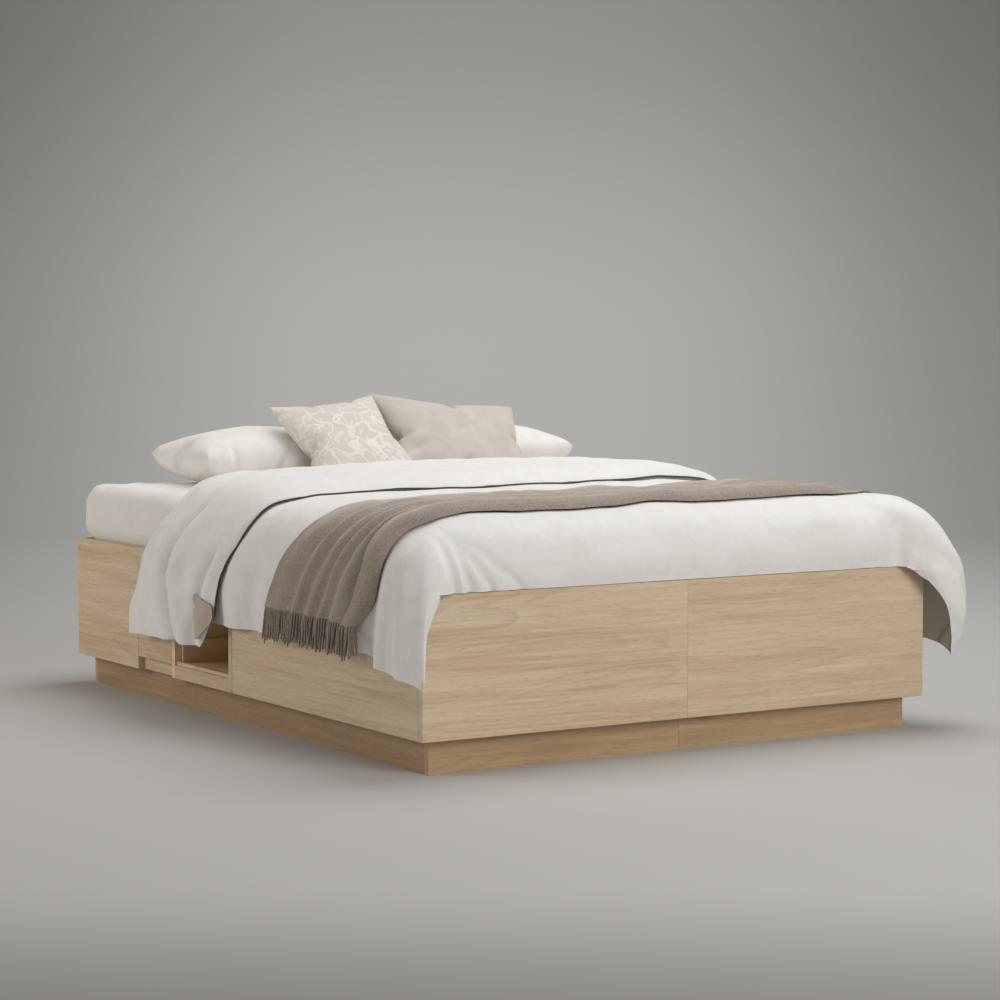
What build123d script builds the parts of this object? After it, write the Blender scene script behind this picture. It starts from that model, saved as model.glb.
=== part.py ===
from build123d import *
import os
from math import cos, pi

os.makedirs("parts", exist_ok=True)

# Frame in millimetres: the origin is on the floor under the middle of the bed, +X is the right
# side seen from the foot, +Y runs to the head and +Z is up.

# Carcass of oak-faced board
overall_width = 1590.0
overall_length = 2110.0
rim_height = 448.0  # floor to the top edge of the sides
board = 19.0  # sides, ends, plinth and dividers
eased_edge = 1.2  # chamfer along the show faces, which reads as a fine line at every joint
plinth_height = 88.0
plinth_setback = 38.0
corner_block_leg = 60.0
corner_block_clear = 8.0  # the blocks stop short of the floor
base_thickness = 18.0
opening_height = 283.0  # floor to the underside of the side rails
beam_thickness = 38.0

# Bays of each long side, from the middle of the bed to the head
niche_width = 348.0
niche_depth = 330.0
niche_floor_thickness = 20.0
niche_lining = 12.0  # back and top of the open niche
narrow_bay = 234.0

# Slatted platform and mattress
ledger_width = 30.0
ledger_height = 30.0
slat_thickness = 18.0
slat_width = 68.0
slat_count = 13
slat_end_gap = 1.0
mattress_thickness = 254.0
mattress_gap_side = 14.0
mattress_gap_end = 20.0
mattress_corner = 60.0
mattress_edge = 28.0
plate_length = 120.0  # steel plates over the joint of the two foot panels and the two head panels
plate_height = 70.0
plate_thickness = 2.0
plate_hole = 5.0

# Drawers: boxes on steel runners, with board fronts
front_gap = 2.0
box_wall = 12.0
box_bottom = 6.0
groove_depth = 5.0
groove_height = 10.0  # lower edge of the box to the bottom's groove
wide_box_depth = 560.0
wide_box_headroom = 37.0  # between base board and side rail, less the box
wide_box_clear = 8.0  # under the box, above the base board
pull_groove = 9.0  # finger groove under the wide front: width, depth and length
pull_groove_depth = 13.0
pull_groove_length = 420.0
narrow_box_depth = 540.0
narrow_box_headroom = 52.0  # between pull rail and side rail, less the box
narrow_box_clear = 5.0  # under the box, above the pull rail
pull_bevel = 9.0  # bevel behind the lower edge of the narrow front
runner_gap = 13.0  # between a drawer side and the wall beside it
runner_length = 520.0
runner_height = 45.0
runner_depth = 10.0
runner_wall = 1.5
runner_lip = 6.0
runner_clearance = 0.3

# Low tray that slides on the niche floor, open to the front over a lip
tray_height = 72.0
tray_lip = 11.0
tray_setback = 4.0
tray_front = 16.0
tray_wall = 10.0
tray_depth = 296.0
tray_side_gap = 3.0
tray_clearance = 0.3

# Bedding
soft_gap = 0.3
quilt_edge = 48.0  # quilt over the mattress: at the sides, in the middle, and folded back
quilt_crown = 72.0
fold_edge = 92.0
fold_crown = 108.0
fold_start = -200.0  # the quilt is folded back as far as here
fold_from_pillows = 466.0  # middle of the pillows to the head edge of the folded-back quilt
quilt_beyond = 8.0  # quilt beyond the mattress side, where the hanging part begins
quilt_tuck = 20.0  # quilt tucked behind the foot panel
drop_thickness = 26.0
drop_clear = 2.0  # hanging quilt to the face of the bed
drop_shoulder = 70.0
drop_inset = 7.0  # foot edge of the hanging quilt, in from the end of the bed
drop_slant = 318.0  # how far the folded quilt slants to the head as it hangs: foot edge and head edge
fold_drop_slant = 300.0
throw_thickness = 8.0
throw_clear = 2.5
throw_margin = 415.0  # single quilt left bare beside the throw
throw_offset = 32.5  # the throw lies this far to the foot of the middle of the single quilt
throw_slant = 75.0  # how far the throw runs askew over half the bed's width
throw_hem = 262.0
throw_end_gap = {"left": 63.0, "right": 83.0}  # lower corner to the first fold of the hanging quilt

pillow_side_gap = 72.0  # a pillow is shorter by this than half the mattress width
pillow_width = 440.0
pillow_thickness = 192.0
pillow_from_head = 249.0  # end of the bed to the middle of the pillows
pillow_gap = 96.0
pillow_shift = 31.0  # the pair lies a little to the right
patterned_width = 400.0
patterned_height = 414.0
patterned_thickness = 110.0
patterned_turn = 3.0
patterned_spot = (-107.0, -239.6, 148.5)  # from the pillows' middle line on the mattress
plain_width = 500.0
plain_height = 400.0
plain_thickness = 115.0
plain_spot = (365.0, -240.0, 148.3)
plain_turn = -4.0
cushion_lean = 43.0
cushion_seam = 7.0  # thickness at the seams
cushion_bands = 10
crown_power = 0.58  # how full a cushion is near its ends
draw_in = 0.05  # how far the seams draw in between the corners, as a share of half a side

sides = ((-1, "left"), (1, "right"))
ends = ((-1, "foot"), (1, "head"))
half_width = overall_width / 2
half_length = overall_length / 2
inner_half_width = half_width - board
inner_half_length = half_length - board
plinth_half_width = half_width - plinth_setback
plinth_half_length = half_length - plinth_setback
base_top = plinth_height + base_thickness
niche_floor = base_top + niche_floor_thickness
beam_half = beam_thickness / 2
niche_start = board / 2
niche_end = niche_start + niche_width
narrow_start = niche_end + board
narrow_end = narrow_start + narrow_bay
ledger_top = opening_height + ledger_height
platform = ledger_top + slat_thickness
mattress_half_width = inner_half_width - mattress_gap_side
mattress_half_length = inner_half_length - mattress_gap_end
mattress_top = platform + mattress_thickness
wide_box_height = opening_height - base_top - wide_box_headroom
narrow_box_height = opening_height - niche_floor - narrow_box_headroom
pillow_length = mattress_half_width - pillow_side_gap
pillow_y = half_length - pillow_from_head
fold_end = pillow_y - fold_from_pillows
drop_start = -half_length + drop_inset
drop_split = fold_start + drop_slant  # single quilt on the foot side, folded quilt on the head side
fold_drop_end = fold_end + fold_drop_slant
throw_centre = (fold_start - half_length) / 2 - throw_offset
throw_width_top = fold_start + half_length - throw_margin


def write(piece, name):
    """Label a finished piece and write it to its own file."""
    piece.label = name
    export_step(piece, f"parts/{name}.step")


# Plinth: boards on edge, set back under the carcass on all four sides
for side, side_name in sides:
    for end, end_name in ends:
        with BuildPart() as plinth_end:
            with BuildSketch(Plane.XY):
                with Locations((side * plinth_half_width / 2, end * (plinth_half_length - board / 2))):
                    Rectangle(plinth_half_width, board)
            extrude(amount=plinth_height)
            chamfer(plinth_end.edges().filter_by(Axis.Z).group_by(Axis.Y)[0 if end < 0 else -1], eased_edge)
        write(plinth_end.part, f"plinth_{end_name}_{side_name}")

    with BuildPart() as plinth_side:
        with BuildSketch(Plane.XY):
            with Locations((side * (plinth_half_width - board / 2), 0)):
                Rectangle(board, 2 * (plinth_half_length - board))
        extrude(amount=plinth_height)
    write(plinth_side.part, f"plinth_{side_name}")

# Triangular blocks glued into the inside corners of the plinth
with BuildPart() as corner_blocks:
    with BuildSketch(Plane.XY.offset(corner_block_clear)):
        for side, side_name in sides:
            for end, end_name in ends:
                corner_x = side * (plinth_half_width - board)
                corner_y = end * (plinth_half_length - board)
                with BuildLine():
                    Polyline(
                        (corner_x, corner_y),
                        (corner_x - side * corner_block_leg, corner_y),
                        (corner_x, corner_y - end * corner_block_leg),
                        close=True,
                    )
                make_face()
    extrude(amount=plinth_height - corner_block_clear)
write(corner_blocks.part, "corner_blocks")

# Centre beam: stands on the floor inside the plinth, steps out over it, and carries the slats
with BuildPart() as centre_beam:
    with BuildSketch(Plane.YZ):
        with Locations((0, (plinth_height + ledger_top) / 2)):
            Rectangle(2 * inner_half_length, ledger_top - plinth_height)
        with Locations((0, plinth_height / 2)):
            Rectangle(2 * (plinth_half_length - board), plinth_height)
    extrude(amount=beam_half, both=True)
write(centre_beam.part, "centre_beam")

# Base boards: one on each side of the beam, lying on the plinth
with BuildPart() as base_boards:
    with BuildSketch(Plane.XY.offset(plinth_height)):
        with GridLocations(beam_half + inner_half_width, 0, 2, 1):
            Rectangle(inner_half_width - beam_half, 2 * inner_half_length)
    extrude(amount=base_thickness)
write(base_boards.part, "base_boards")

# End walls: the foot panels cover the ends of the side rails, the head panels fit between the sides
for side, side_name in sides:
    for end, end_name, panel_width in ((-1, "foot", half_width), (1, "head", inner_half_width)):
        with BuildPart() as end_wall:
            with BuildSketch(Plane.XZ.offset(-end * half_length)):
                with Locations((side * panel_width / 2, (plinth_height + rim_height) / 2)):
                    Rectangle(panel_width, rim_height - plinth_height)
            extrude(amount=end * board)
            chamfer(end_wall.faces().sort_by(Axis.Y)[0 if end < 0 else -1].edges(), eased_edge)
        write(end_wall.part, f"{end_name}_panel_{side_name}")

# Steel plates screwed over the butt joints of the foot panels and of the head panels
with BuildPart() as joint_plates:
    for end, end_name in ends:
        with BuildSketch(Plane.XZ.offset(-end * inner_half_length)):
            with Locations((0, (platform + rim_height) / 2)):
                RectangleRounded(plate_length, plate_height, plate_hole)
                with GridLocations(plate_length * 0.7, plate_height * 0.5, 2, 2):
                    Circle(plate_hole / 2, mode=Mode.SUBTRACT)
        extrude(amount=end * plate_thickness)
write(joint_plates.part, "joint_plates")

# Long sides: a full-height panel at the head and a rail over the drawers and the niche
for side, side_name in sides:
    for name, y_low, y_high, z_low in (
        ("end_panel", narrow_end, half_length, plinth_height),
        ("side_rail", -inner_half_length, narrow_end, opening_height),
    ):
        with BuildPart() as side_board:
            with BuildSketch(Plane.YZ.offset(side * inner_half_width)):
                with Locations(((y_low + y_high) / 2, (z_low + rim_height) / 2)):
                    Rectangle(y_high - y_low, rim_height - z_low)
            extrude(amount=side * board)
            chamfer(side_board.faces().sort_by(Axis.X)[0 if side < 0 else -1].edges(), eased_edge)
        write(side_board.part, f"{name}_{side_name}")

    # Dividers: the two beside the niche reach the face of the bed, the third stops behind the end panel
    for name, y_centre, reach in (
        ("middle_divider", 0, half_width),
        ("niche_divider", niche_end + board / 2, half_width),
        ("drawer_divider", narrow_end + board / 2, inner_half_width),
    ):
        with BuildPart() as divider:
            with BuildSketch(Plane.XZ.offset(board / 2 - y_centre)):
                with Locations((side * (beam_half + inner_half_width) / 2, (base_top + opening_height) / 2)):
                    Rectangle(inner_half_width - beam_half, opening_height - base_top)
                if reach > inner_half_width:
                    nose = (side * (inner_half_width + board / 2), (plinth_height + opening_height) / 2)
                    with Locations(nose):
                        Rectangle(board, opening_height - plinth_height)
            extrude(amount=-board)
        write(divider.part, f"{name}_{side_name}")

    # Niche lining: floor, back, and a top that lies on the dividers behind the ledger
    niche_back = half_width - niche_depth
    top_reach = inner_half_width - ledger_width
    lining = []
    for x_low, x_high, width, z_low, thickness in (
        (niche_back, inner_half_width, niche_width, base_top, niche_floor_thickness),
        (niche_back - niche_lining, niche_back, niche_width, base_top, opening_height - base_top),
        (niche_back - niche_lining, top_reach, niche_width + 2 * board, opening_height, niche_lining),
    ):
        with BuildPart() as lining_board:
            with BuildSketch(Plane.XY.offset(z_low)):
                with Locations((side * (x_low + x_high) / 2, niche_start + niche_width / 2)):
                    Rectangle(x_high - x_low, width)
            extrude(amount=thickness)
        lining.append(lining_board.part.solid())
    write(Compound(lining), f"niche_lining_{side_name}")

    # Lower rails: flush with the face under the niche, set back under the narrow drawer as a finger pull
    with BuildPart() as niche_rail:
        with BuildSketch(Plane.YZ.offset(side * inner_half_width)):
            with Locations((niche_start + niche_width / 2, (plinth_height + niche_floor) / 2)):
                Rectangle(niche_width, niche_floor - plinth_height)
        extrude(amount=side * board)
        chamfer(niche_rail.faces().sort_by(Axis.X)[0 if side < 0 else -1].edges(), eased_edge)
    with BuildPart() as pull_rail:
        with BuildSketch(Plane.YZ.offset(side * inner_half_width)):
            with Locations((narrow_start + narrow_bay / 2, (base_top + niche_floor) / 2)):
                Rectangle(narrow_bay, niche_floor_thickness)
        extrude(amount=-side * board)
    write(Compound([niche_rail.part.solid(), pull_rail.part.solid()]), f"lower_rails_{side_name}")

# Ledgers: battens behind the side rails that carry the outer ends of the slats
with BuildPart() as ledgers:
    with BuildSketch(Plane.XY.offset(opening_height)):
        with GridLocations(2 * inner_half_width - ledger_width, 0, 2, 1):
            Rectangle(ledger_width, 2 * inner_half_length)
    extrude(amount=ledger_height)
write(ledgers.part, "ledgers")

# Slats: one row on each side, from the ledger to the beam
slat_length = inner_half_width - 2 * slat_end_gap
slat_pitch = (2 * inner_half_length - slat_width) / slat_count
with BuildPart() as slats:
    with BuildSketch(Plane.XY.offset(ledger_top)):
        with GridLocations(inner_half_width, slat_pitch, 2, slat_count):
            Rectangle(slat_length, slat_width)
    extrude(amount=slat_thickness)
write(slats.part, "slats")


# Runners: a fixed channel on the wall beside the drawer, and a slide on the drawer side within its lips
def runner_channel(plane, wall_y, towards, centre_z, reach):
    """Channel with lips on the wall at wall_y, opening along towards, drawn back from the front."""
    middle = (wall_y + towards * runner_depth / 2, centre_z)
    mouth = (wall_y + towards * (runner_depth - runner_wall / 2), centre_z)
    with BuildPart() as channel:
        with BuildSketch(plane):
            with Locations(middle):
                Rectangle(runner_depth, runner_height)
                Rectangle(runner_depth - 2 * runner_wall, runner_height - 2 * runner_wall, mode=Mode.SUBTRACT)
            with Locations(mouth):
                Rectangle(runner_wall, runner_height - 2 * runner_lip, mode=Mode.SUBTRACT)
        extrude(amount=reach)
    return channel.part.solid()


def runner_slide(plane, wall_y, towards, centre_z, reach):
    """Slide on the drawer side, which runs between the lips of the channel on the wall at wall_y."""
    height = runner_height - 2 * runner_lip - 2 * runner_clearance
    depth = runner_gap - 2 * runner_wall
    middle = (wall_y + towards * (runner_gap - depth / 2), centre_z)
    hollow = (wall_y + towards * (runner_gap - depth / 2 - runner_wall), centre_z)
    with BuildPart() as slide:
        with BuildSketch(plane):
            with Locations(middle):
                Rectangle(depth, height)
            with Locations(hollow):
                Rectangle(depth, height - 2 * runner_wall, mode=Mode.SUBTRACT)
        extrude(amount=reach)
    return slide.part.solid()


wide_walls = (-inner_half_length, -board / 2)
narrow_walls = (narrow_start, narrow_end)
wide_low = base_top + wide_box_clear
narrow_low = niche_floor + narrow_box_clear
wide_runner_z = wide_low + wide_box_height / 2
narrow_runner_z = narrow_low + narrow_box_height / 2
channels = []
for side, side_name in sides:
    runner_face = Plane.YZ.offset(side * inner_half_width)
    for walls, centre_z in ((wide_walls, wide_runner_z), (narrow_walls, narrow_runner_z)):
        channels.append(runner_channel(runner_face, walls[0], 1, centre_z, -side * runner_length))
        channels.append(runner_channel(runner_face, walls[1], -1, centre_z, -side * runner_length))
write(Compound(channels), "runner_channels")


# Drawer boxes: two grooved sides and a back, with a thin bottom let into the grooves
def drawer_box(side, walls, low, height, depth):
    """The two sides, the back that stands on the bottom, and the bottom, as four boards."""
    front = Plane.YZ.offset(side * inner_half_width)
    rear = Plane.YZ.offset(side * (inner_half_width - depth))
    middle_y = sum(walls) / 2
    inner_width = walls[1] - walls[0] - 2 * (runner_gap + box_wall)
    groove_z = low + groove_height + box_bottom / 2
    groove_top = low + groove_height + box_bottom
    with BuildPart() as box_sides:
        with BuildSketch(front):
            with Locations((middle_y, low + height / 2)):
                with GridLocations(inner_width + box_wall, 0, 2, 1):
                    Rectangle(box_wall, height)
            with Locations((middle_y, groove_z)):
                Rectangle(inner_width + 2 * groove_depth, box_bottom, mode=Mode.SUBTRACT)
        extrude(amount=-side * depth)
    with BuildPart() as box_back:
        with BuildSketch(rear):
            with Locations((middle_y, (groove_top + low + height) / 2)):
                Rectangle(inner_width, low + height - groove_top)
        extrude(amount=side * box_wall)
    with BuildPart() as bottom:
        with BuildSketch(front):
            with Locations((middle_y, groove_z)):
                Rectangle(inner_width + 2 * groove_depth, box_bottom)
        extrude(amount=-side * depth)
    return [*box_sides.part.solids(), box_back.part.solid()], bottom.part.solid()


for side, side_name in sides:
    front_back = Plane.YZ.offset(side * inner_half_width)

    # Wide drawer at the foot: its front comes down to the plinth recess and is grooved below for the fingers
    with BuildPart() as wide_front:
        with BuildSketch(front_back):
            front_width = wide_walls[1] - wide_walls[0] - 2 * front_gap
            with Locations((sum(wide_walls) / 2, (plinth_height + opening_height - front_gap) / 2)):
                Rectangle(front_width, opening_height - front_gap - plinth_height)
        extrude(amount=side * board)
        chamfer(wide_front.faces().sort_by(Axis.X)[0 if side < 0 else -1].edges(), eased_edge)
        with BuildSketch(Plane.XY.offset(plinth_height)):
            with Locations((side * (inner_half_width + board / 2), sum(wide_walls) / 2)):
                SlotOverall(pull_groove_length, pull_groove, rotation=90)
        extrude(amount=pull_groove_depth, mode=Mode.SUBTRACT)
    write(wide_front.part, f"wide_drawer_front_{side_name}")

    walls_of_box, bottom_of_box = drawer_box(side, wide_walls, wide_low, wide_box_height, wide_box_depth)
    write(Compound(walls_of_box), f"wide_drawer_box_{side_name}")
    write(bottom_of_box, f"wide_drawer_bottom_{side_name}")

    # Narrow drawer: its front stops above the recessed pull rail and is bevelled behind for the fingers
    front_low = niche_floor
    with BuildPart() as narrow_front:
        with BuildSketch(front_back):
            with Locations((sum(narrow_walls) / 2, (front_low + opening_height - front_gap) / 2)):
                Rectangle(narrow_bay - 2 * front_gap, opening_height - front_gap - front_low)
        extrude(amount=side * board)
        show_face = narrow_front.faces().sort_by(Axis.X)[0 if side < 0 else -1]
        back_face = narrow_front.faces().sort_by(Axis.X)[-1 if side < 0 else 0]
        lower_back = back_face.edges().sort_by(Axis.Z)[0]
        chamfer(show_face.edges(), eased_edge)
        chamfer(lower_back, pull_bevel)
    write(narrow_front.part, f"narrow_drawer_front_{side_name}")

    boards = drawer_box(side, narrow_walls, narrow_low, narrow_box_height, narrow_box_depth)
    write(Compound([*boards[0], boards[1]]), f"narrow_drawer_box_{side_name}")

    # Slides on the sides of both drawers
    for name, walls, centre_z in (
        ("wide", wide_walls, wide_runner_z),
        ("narrow", narrow_walls, narrow_runner_z),
    ):
        slides = [
            runner_slide(front_back, walls[0], 1, centre_z, -side * runner_length),
            runner_slide(front_back, walls[1], -1, centre_z, -side * runner_length),
        ]
        write(Compound(slides), f"{name}_drawer_slides_{side_name}")

    # Niche tray: a low box that slides on the niche floor; its front is only a lip to pull it by
    tray_low = niche_floor + tray_clearance
    tray_half = niche_width / 2 - tray_side_gap
    tray_face = half_width - tray_setback
    niche_middle = niche_start + niche_width / 2
    with BuildPart() as tray_front_board:
        with BuildSketch(Plane.YZ.offset(side * (tray_face - tray_front))):
            with Locations((niche_middle, tray_low + tray_lip / 2)):
                Rectangle(2 * tray_half, tray_lip)
        extrude(amount=side * tray_front)
        chamfer(tray_front_board.faces().sort_by(Axis.X)[0 if side < 0 else -1].edges(), eased_edge)
    write(tray_front_board.part, f"niche_tray_front_{side_name}")

    with BuildPart() as tray_floor:
        with BuildSketch(Plane.XY.offset(tray_low)):
            with Locations((side * (tray_face - tray_front - tray_depth / 2), niche_middle)):
                Rectangle(tray_depth, 2 * (tray_half - tray_wall))
        extrude(amount=box_bottom)
    with BuildPart() as tray_walls:
        with BuildSketch(Plane.XY.offset(tray_low)):
            with Locations((side * (tray_face - tray_front - tray_depth / 2), niche_middle)):
                with GridLocations(0, 2 * tray_half - tray_wall, 1, 2):
                    Rectangle(tray_depth, tray_wall)
        extrude(amount=tray_height)
    with BuildPart() as tray_back:
        with BuildSketch(Plane.XY.offset(tray_low + box_bottom)):
            with Locations((side * (tray_face - tray_front - tray_depth + tray_wall / 2), niche_middle)):
                Rectangle(tray_wall, 2 * (tray_half - tray_wall))
        extrude(amount=tray_height - box_bottom)
    tray_box = Compound([*tray_walls.part.solids(), tray_back.part.solid(), tray_floor.part.solid()])
    write(tray_box, f"niche_tray_box_{side_name}")

# Mattress, lying on the slats inside the rim
with BuildPart() as mattress:
    with BuildSketch(Plane.XY.offset(platform)):
        RectangleRounded(2 * mattress_half_width, 2 * mattress_half_length, mattress_corner)
    extrude(amount=mattress_thickness)
    fillet(mattress.faces().filter_by(Axis.Z).edges(), mattress_edge)
write(mattress.part, "mattress")

# Quilt on the mattress: a crowned pad, rounded over the foot and tucked behind the foot panel
quilt_low = mattress_top + soft_gap
quilt_half = mattress_half_width + quilt_beyond
foot_inner = -inner_half_length
mattress_foot = -mattress_half_length
bulge = board / 2
with BuildPart() as quilt_pad:
    with BuildSketch(Plane.YZ):
        with BuildLine():
            Polyline(
                (fold_start, mattress_top + quilt_crown + soft_gap),
                (fold_start, quilt_low),
                (mattress_foot - soft_gap, quilt_low),
                (mattress_foot - soft_gap, rim_height - quilt_tuck),
                (foot_inner + soft_gap, rim_height - quilt_tuck),
                (foot_inner + soft_gap, rim_height + soft_gap),
                (foot_inner - bulge, rim_height + soft_gap),
            )
            ThreePointArc(
                (foot_inner - bulge, rim_height + soft_gap),
                (foot_inner + quilt_crown * 0.3, mattress_top + quilt_crown * 0.45),
                (foot_inner + 2.4 * quilt_crown, mattress_top + quilt_crown + soft_gap),
            )
            Line(
                (foot_inner + 2.4 * quilt_crown, mattress_top + quilt_crown + soft_gap),
                (fold_start, mattress_top + quilt_crown + soft_gap),
            )
        make_face()
    extrude(amount=quilt_half, both=True)
    with BuildSketch(Plane.XZ.offset(-fold_start)):
        with BuildLine():
            Polyline(
                (-quilt_half, mattress_top + quilt_edge),
                (-quilt_half, platform),
                (quilt_half, platform),
                (quilt_half, mattress_top + quilt_edge),
            )
            ThreePointArc(
                (quilt_half, mattress_top + quilt_edge),
                (0, mattress_top + quilt_crown),
                (-quilt_half, mattress_top + quilt_edge),
            )
        make_face()
    extrude(amount=fold_start + overall_length, mode=Mode.INTERSECT)

# Folded-back part of the quilt: twice as thick, rounded at its head edge
with BuildPart() as quilt_fold:
    with BuildSketch(Plane.XZ.offset(-fold_start - soft_gap)):
        with BuildLine():
            Polyline(
                (-quilt_half, mattress_top + fold_edge),
                (-quilt_half, quilt_low),
                (quilt_half, quilt_low),
                (quilt_half, mattress_top + fold_edge),
            )
            ThreePointArc(
                (quilt_half, mattress_top + fold_edge),
                (0, mattress_top + fold_crown),
                (-quilt_half, mattress_top + fold_edge),
            )
        make_face()
    extrude(amount=-(fold_end - fold_start - soft_gap))
    fillet(quilt_fold.faces().sort_by(Axis.Y)[-1].edges().sort_by(Axis.Z)[-1], fold_edge * 0.6)
write(Compound([quilt_pad.part.solid(), quilt_fold.part.solid()]), "quilt")


# Hanging quilt: a ruled loft through sections along the bed, whose bulges are the main folds
def drop_section(side, y, hem, out, top):
    """Section of the hanging quilt: over the rim, down the face of the bed, and back over the shoulder."""
    inner = quilt_half + soft_gap
    face = half_width + drop_clear
    with BuildSketch(Plane.XZ.offset(-y)) as section:
        with BuildLine():
            Polyline(
                (side * inner, top),
                (side * inner, mattress_top - drop_shoulder),
                (side * face, rim_height + drop_clear),
                (side * (face + out), hem),
                (side * (face + out + drop_thickness), hem),
                (side * (face + drop_thickness), top - drop_shoulder),
            )
            ThreePointArc(
                (side * (face + drop_thickness), top - drop_shoulder),
                (side * face, top - drop_shoulder * 0.25),
                (side * inner, top),
            )
        make_face()
    return section.sketch


def drop_cut(outline):
    """Block across the whole bed with the given outline along it, to trim a hanging edge aslant."""
    with BuildPart() as block:
        with BuildSketch(Plane.YZ):
            with BuildLine():
                Polyline(*outline, close=True)
            make_face()
        extrude(amount=overall_width, both=True)
    return block.part


single_top = mattress_top + quilt_edge - soft_gap
folded_top = mattress_top + fold_edge - soft_gap
foot_corner = {"left": 16.0, "right": 78.0}  # how far the corner of the quilt swings out at the foot
fold_depth = 30.0
fold_pitch = 58.0  # half a fold's width along the bed
fold_side_cut = drop_cut(
    (
        (fold_start - soft_gap, folded_top),
        (drop_split - soft_gap, niche_floor),
        (half_length, niche_floor),
        (half_length, folded_top),
    )
)
foot_side_cut = drop_cut(
    (
        (fold_start, folded_top),
        (drop_split, niche_floor),
        (-half_length, niche_floor),
        (-half_length, folded_top),
    )
)
head_side_cut = drop_cut(
    (
        (fold_end, folded_top + soft_gap),
        (fold_drop_end, niche_floor),
        (half_length, niche_floor),
        (half_length, folded_top + soft_gap),
    )
)
for side, side_name in sides:
    swing = foot_corner[side_name]
    # each station: place along the bed, height of the hem, how far the hem stands out
    single_stations = [
        (drop_start, 214.0, swing),
        (drop_start + fold_pitch, 226.0, swing * 0.5),
        (drop_start + 2 * fold_pitch, 243.0, swing * 0.35),
        (drop_start + 3 * fold_pitch, 262.0, 6.0),
        (drop_start + 4 * fold_pitch, 267.0, 0.0),
        (drop_split - 5 * fold_pitch, 274.0, 0.0),
        (drop_split - 4 * fold_pitch, 275.0, fold_depth * 0.3),
        (drop_split - 3 * fold_pitch, 276.0, 0.0),
        (drop_split - 2 * fold_pitch, 277.0, fold_depth * 0.6),
        (drop_split - fold_pitch, 277.0, 0.0),
        (drop_split - soft_gap, 277.0, fold_depth * 0.2),
    ]
    folded_stations = [
        (fold_start, 277.0, fold_depth * 0.2),
        (drop_split, 252.0, fold_depth * 0.2),
        (drop_split + fold_pitch, 226.0, fold_depth * 0.6),
        (drop_split + 2 * fold_pitch, 209.0, fold_depth),
        (drop_split + 3 * fold_pitch, 214.0, fold_depth * 0.3),
        (drop_split + 4 * fold_pitch, 212.0, fold_depth * 0.8),
        (drop_split + 5 * fold_pitch, 208.0, fold_depth * 0.3),
        (drop_split + 6 * fold_pitch, 204.0, fold_depth),
        (drop_split + 7 * fold_pitch, 201.0, fold_depth * 0.5),
        (fold_drop_end, 198.0, fold_depth * 0.8),
    ]
    with BuildPart() as single_drop:
        loft([drop_section(side, y, hem, out, single_top) for y, hem, out in single_stations], ruled=True)
        add(fold_side_cut, mode=Mode.SUBTRACT)
    with BuildPart() as folded_drop:
        loft([drop_section(side, y, hem, out, folded_top) for y, hem, out in folded_stations], ruled=True)
        add(foot_side_cut, mode=Mode.SUBTRACT)
        add(head_side_cut, mode=Mode.SUBTRACT)
    write(Compound([single_drop.part.solid(), folded_drop.part.solid()]), f"quilt_drop_{side_name}")

# Throw across the foot half: a band that follows the crown of the quilt, a little askew
with BuildPart() as throw:
    with BuildSketch(Plane.XZ):
        with BuildLine():
            low_edge = mattress_top + quilt_edge + soft_gap
            low_crown = mattress_top + quilt_crown + soft_gap
            ThreePointArc((-quilt_half, low_edge), (0, low_crown), (quilt_half, low_edge))
            Line((quilt_half, low_edge), (quilt_half, low_edge + throw_thickness))
            ThreePointArc(
                (quilt_half, low_edge + throw_thickness),
                (0, low_crown + throw_thickness),
                (-quilt_half, low_edge + throw_thickness),
            )
            Line((-quilt_half, low_edge + throw_thickness), (-quilt_half, low_edge))
        make_face()
    extrude(amount=half_length)
    with BuildSketch(Plane.XY.offset(mattress_top)):
        with BuildLine():
            Polyline(
                (-quilt_half, throw_centre - throw_slant - throw_width_top / 2),
                (quilt_half, throw_centre + throw_slant - throw_width_top / 2),
                (quilt_half, throw_centre + throw_slant + throw_width_top / 2),
                (-quilt_half, throw_centre - throw_slant + throw_width_top / 2),
                close=True,
            )
        make_face()
    extrude(amount=quilt_crown + 2 * throw_thickness, mode=Mode.INTERSECT)
write(throw.part, "throw")

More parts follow.
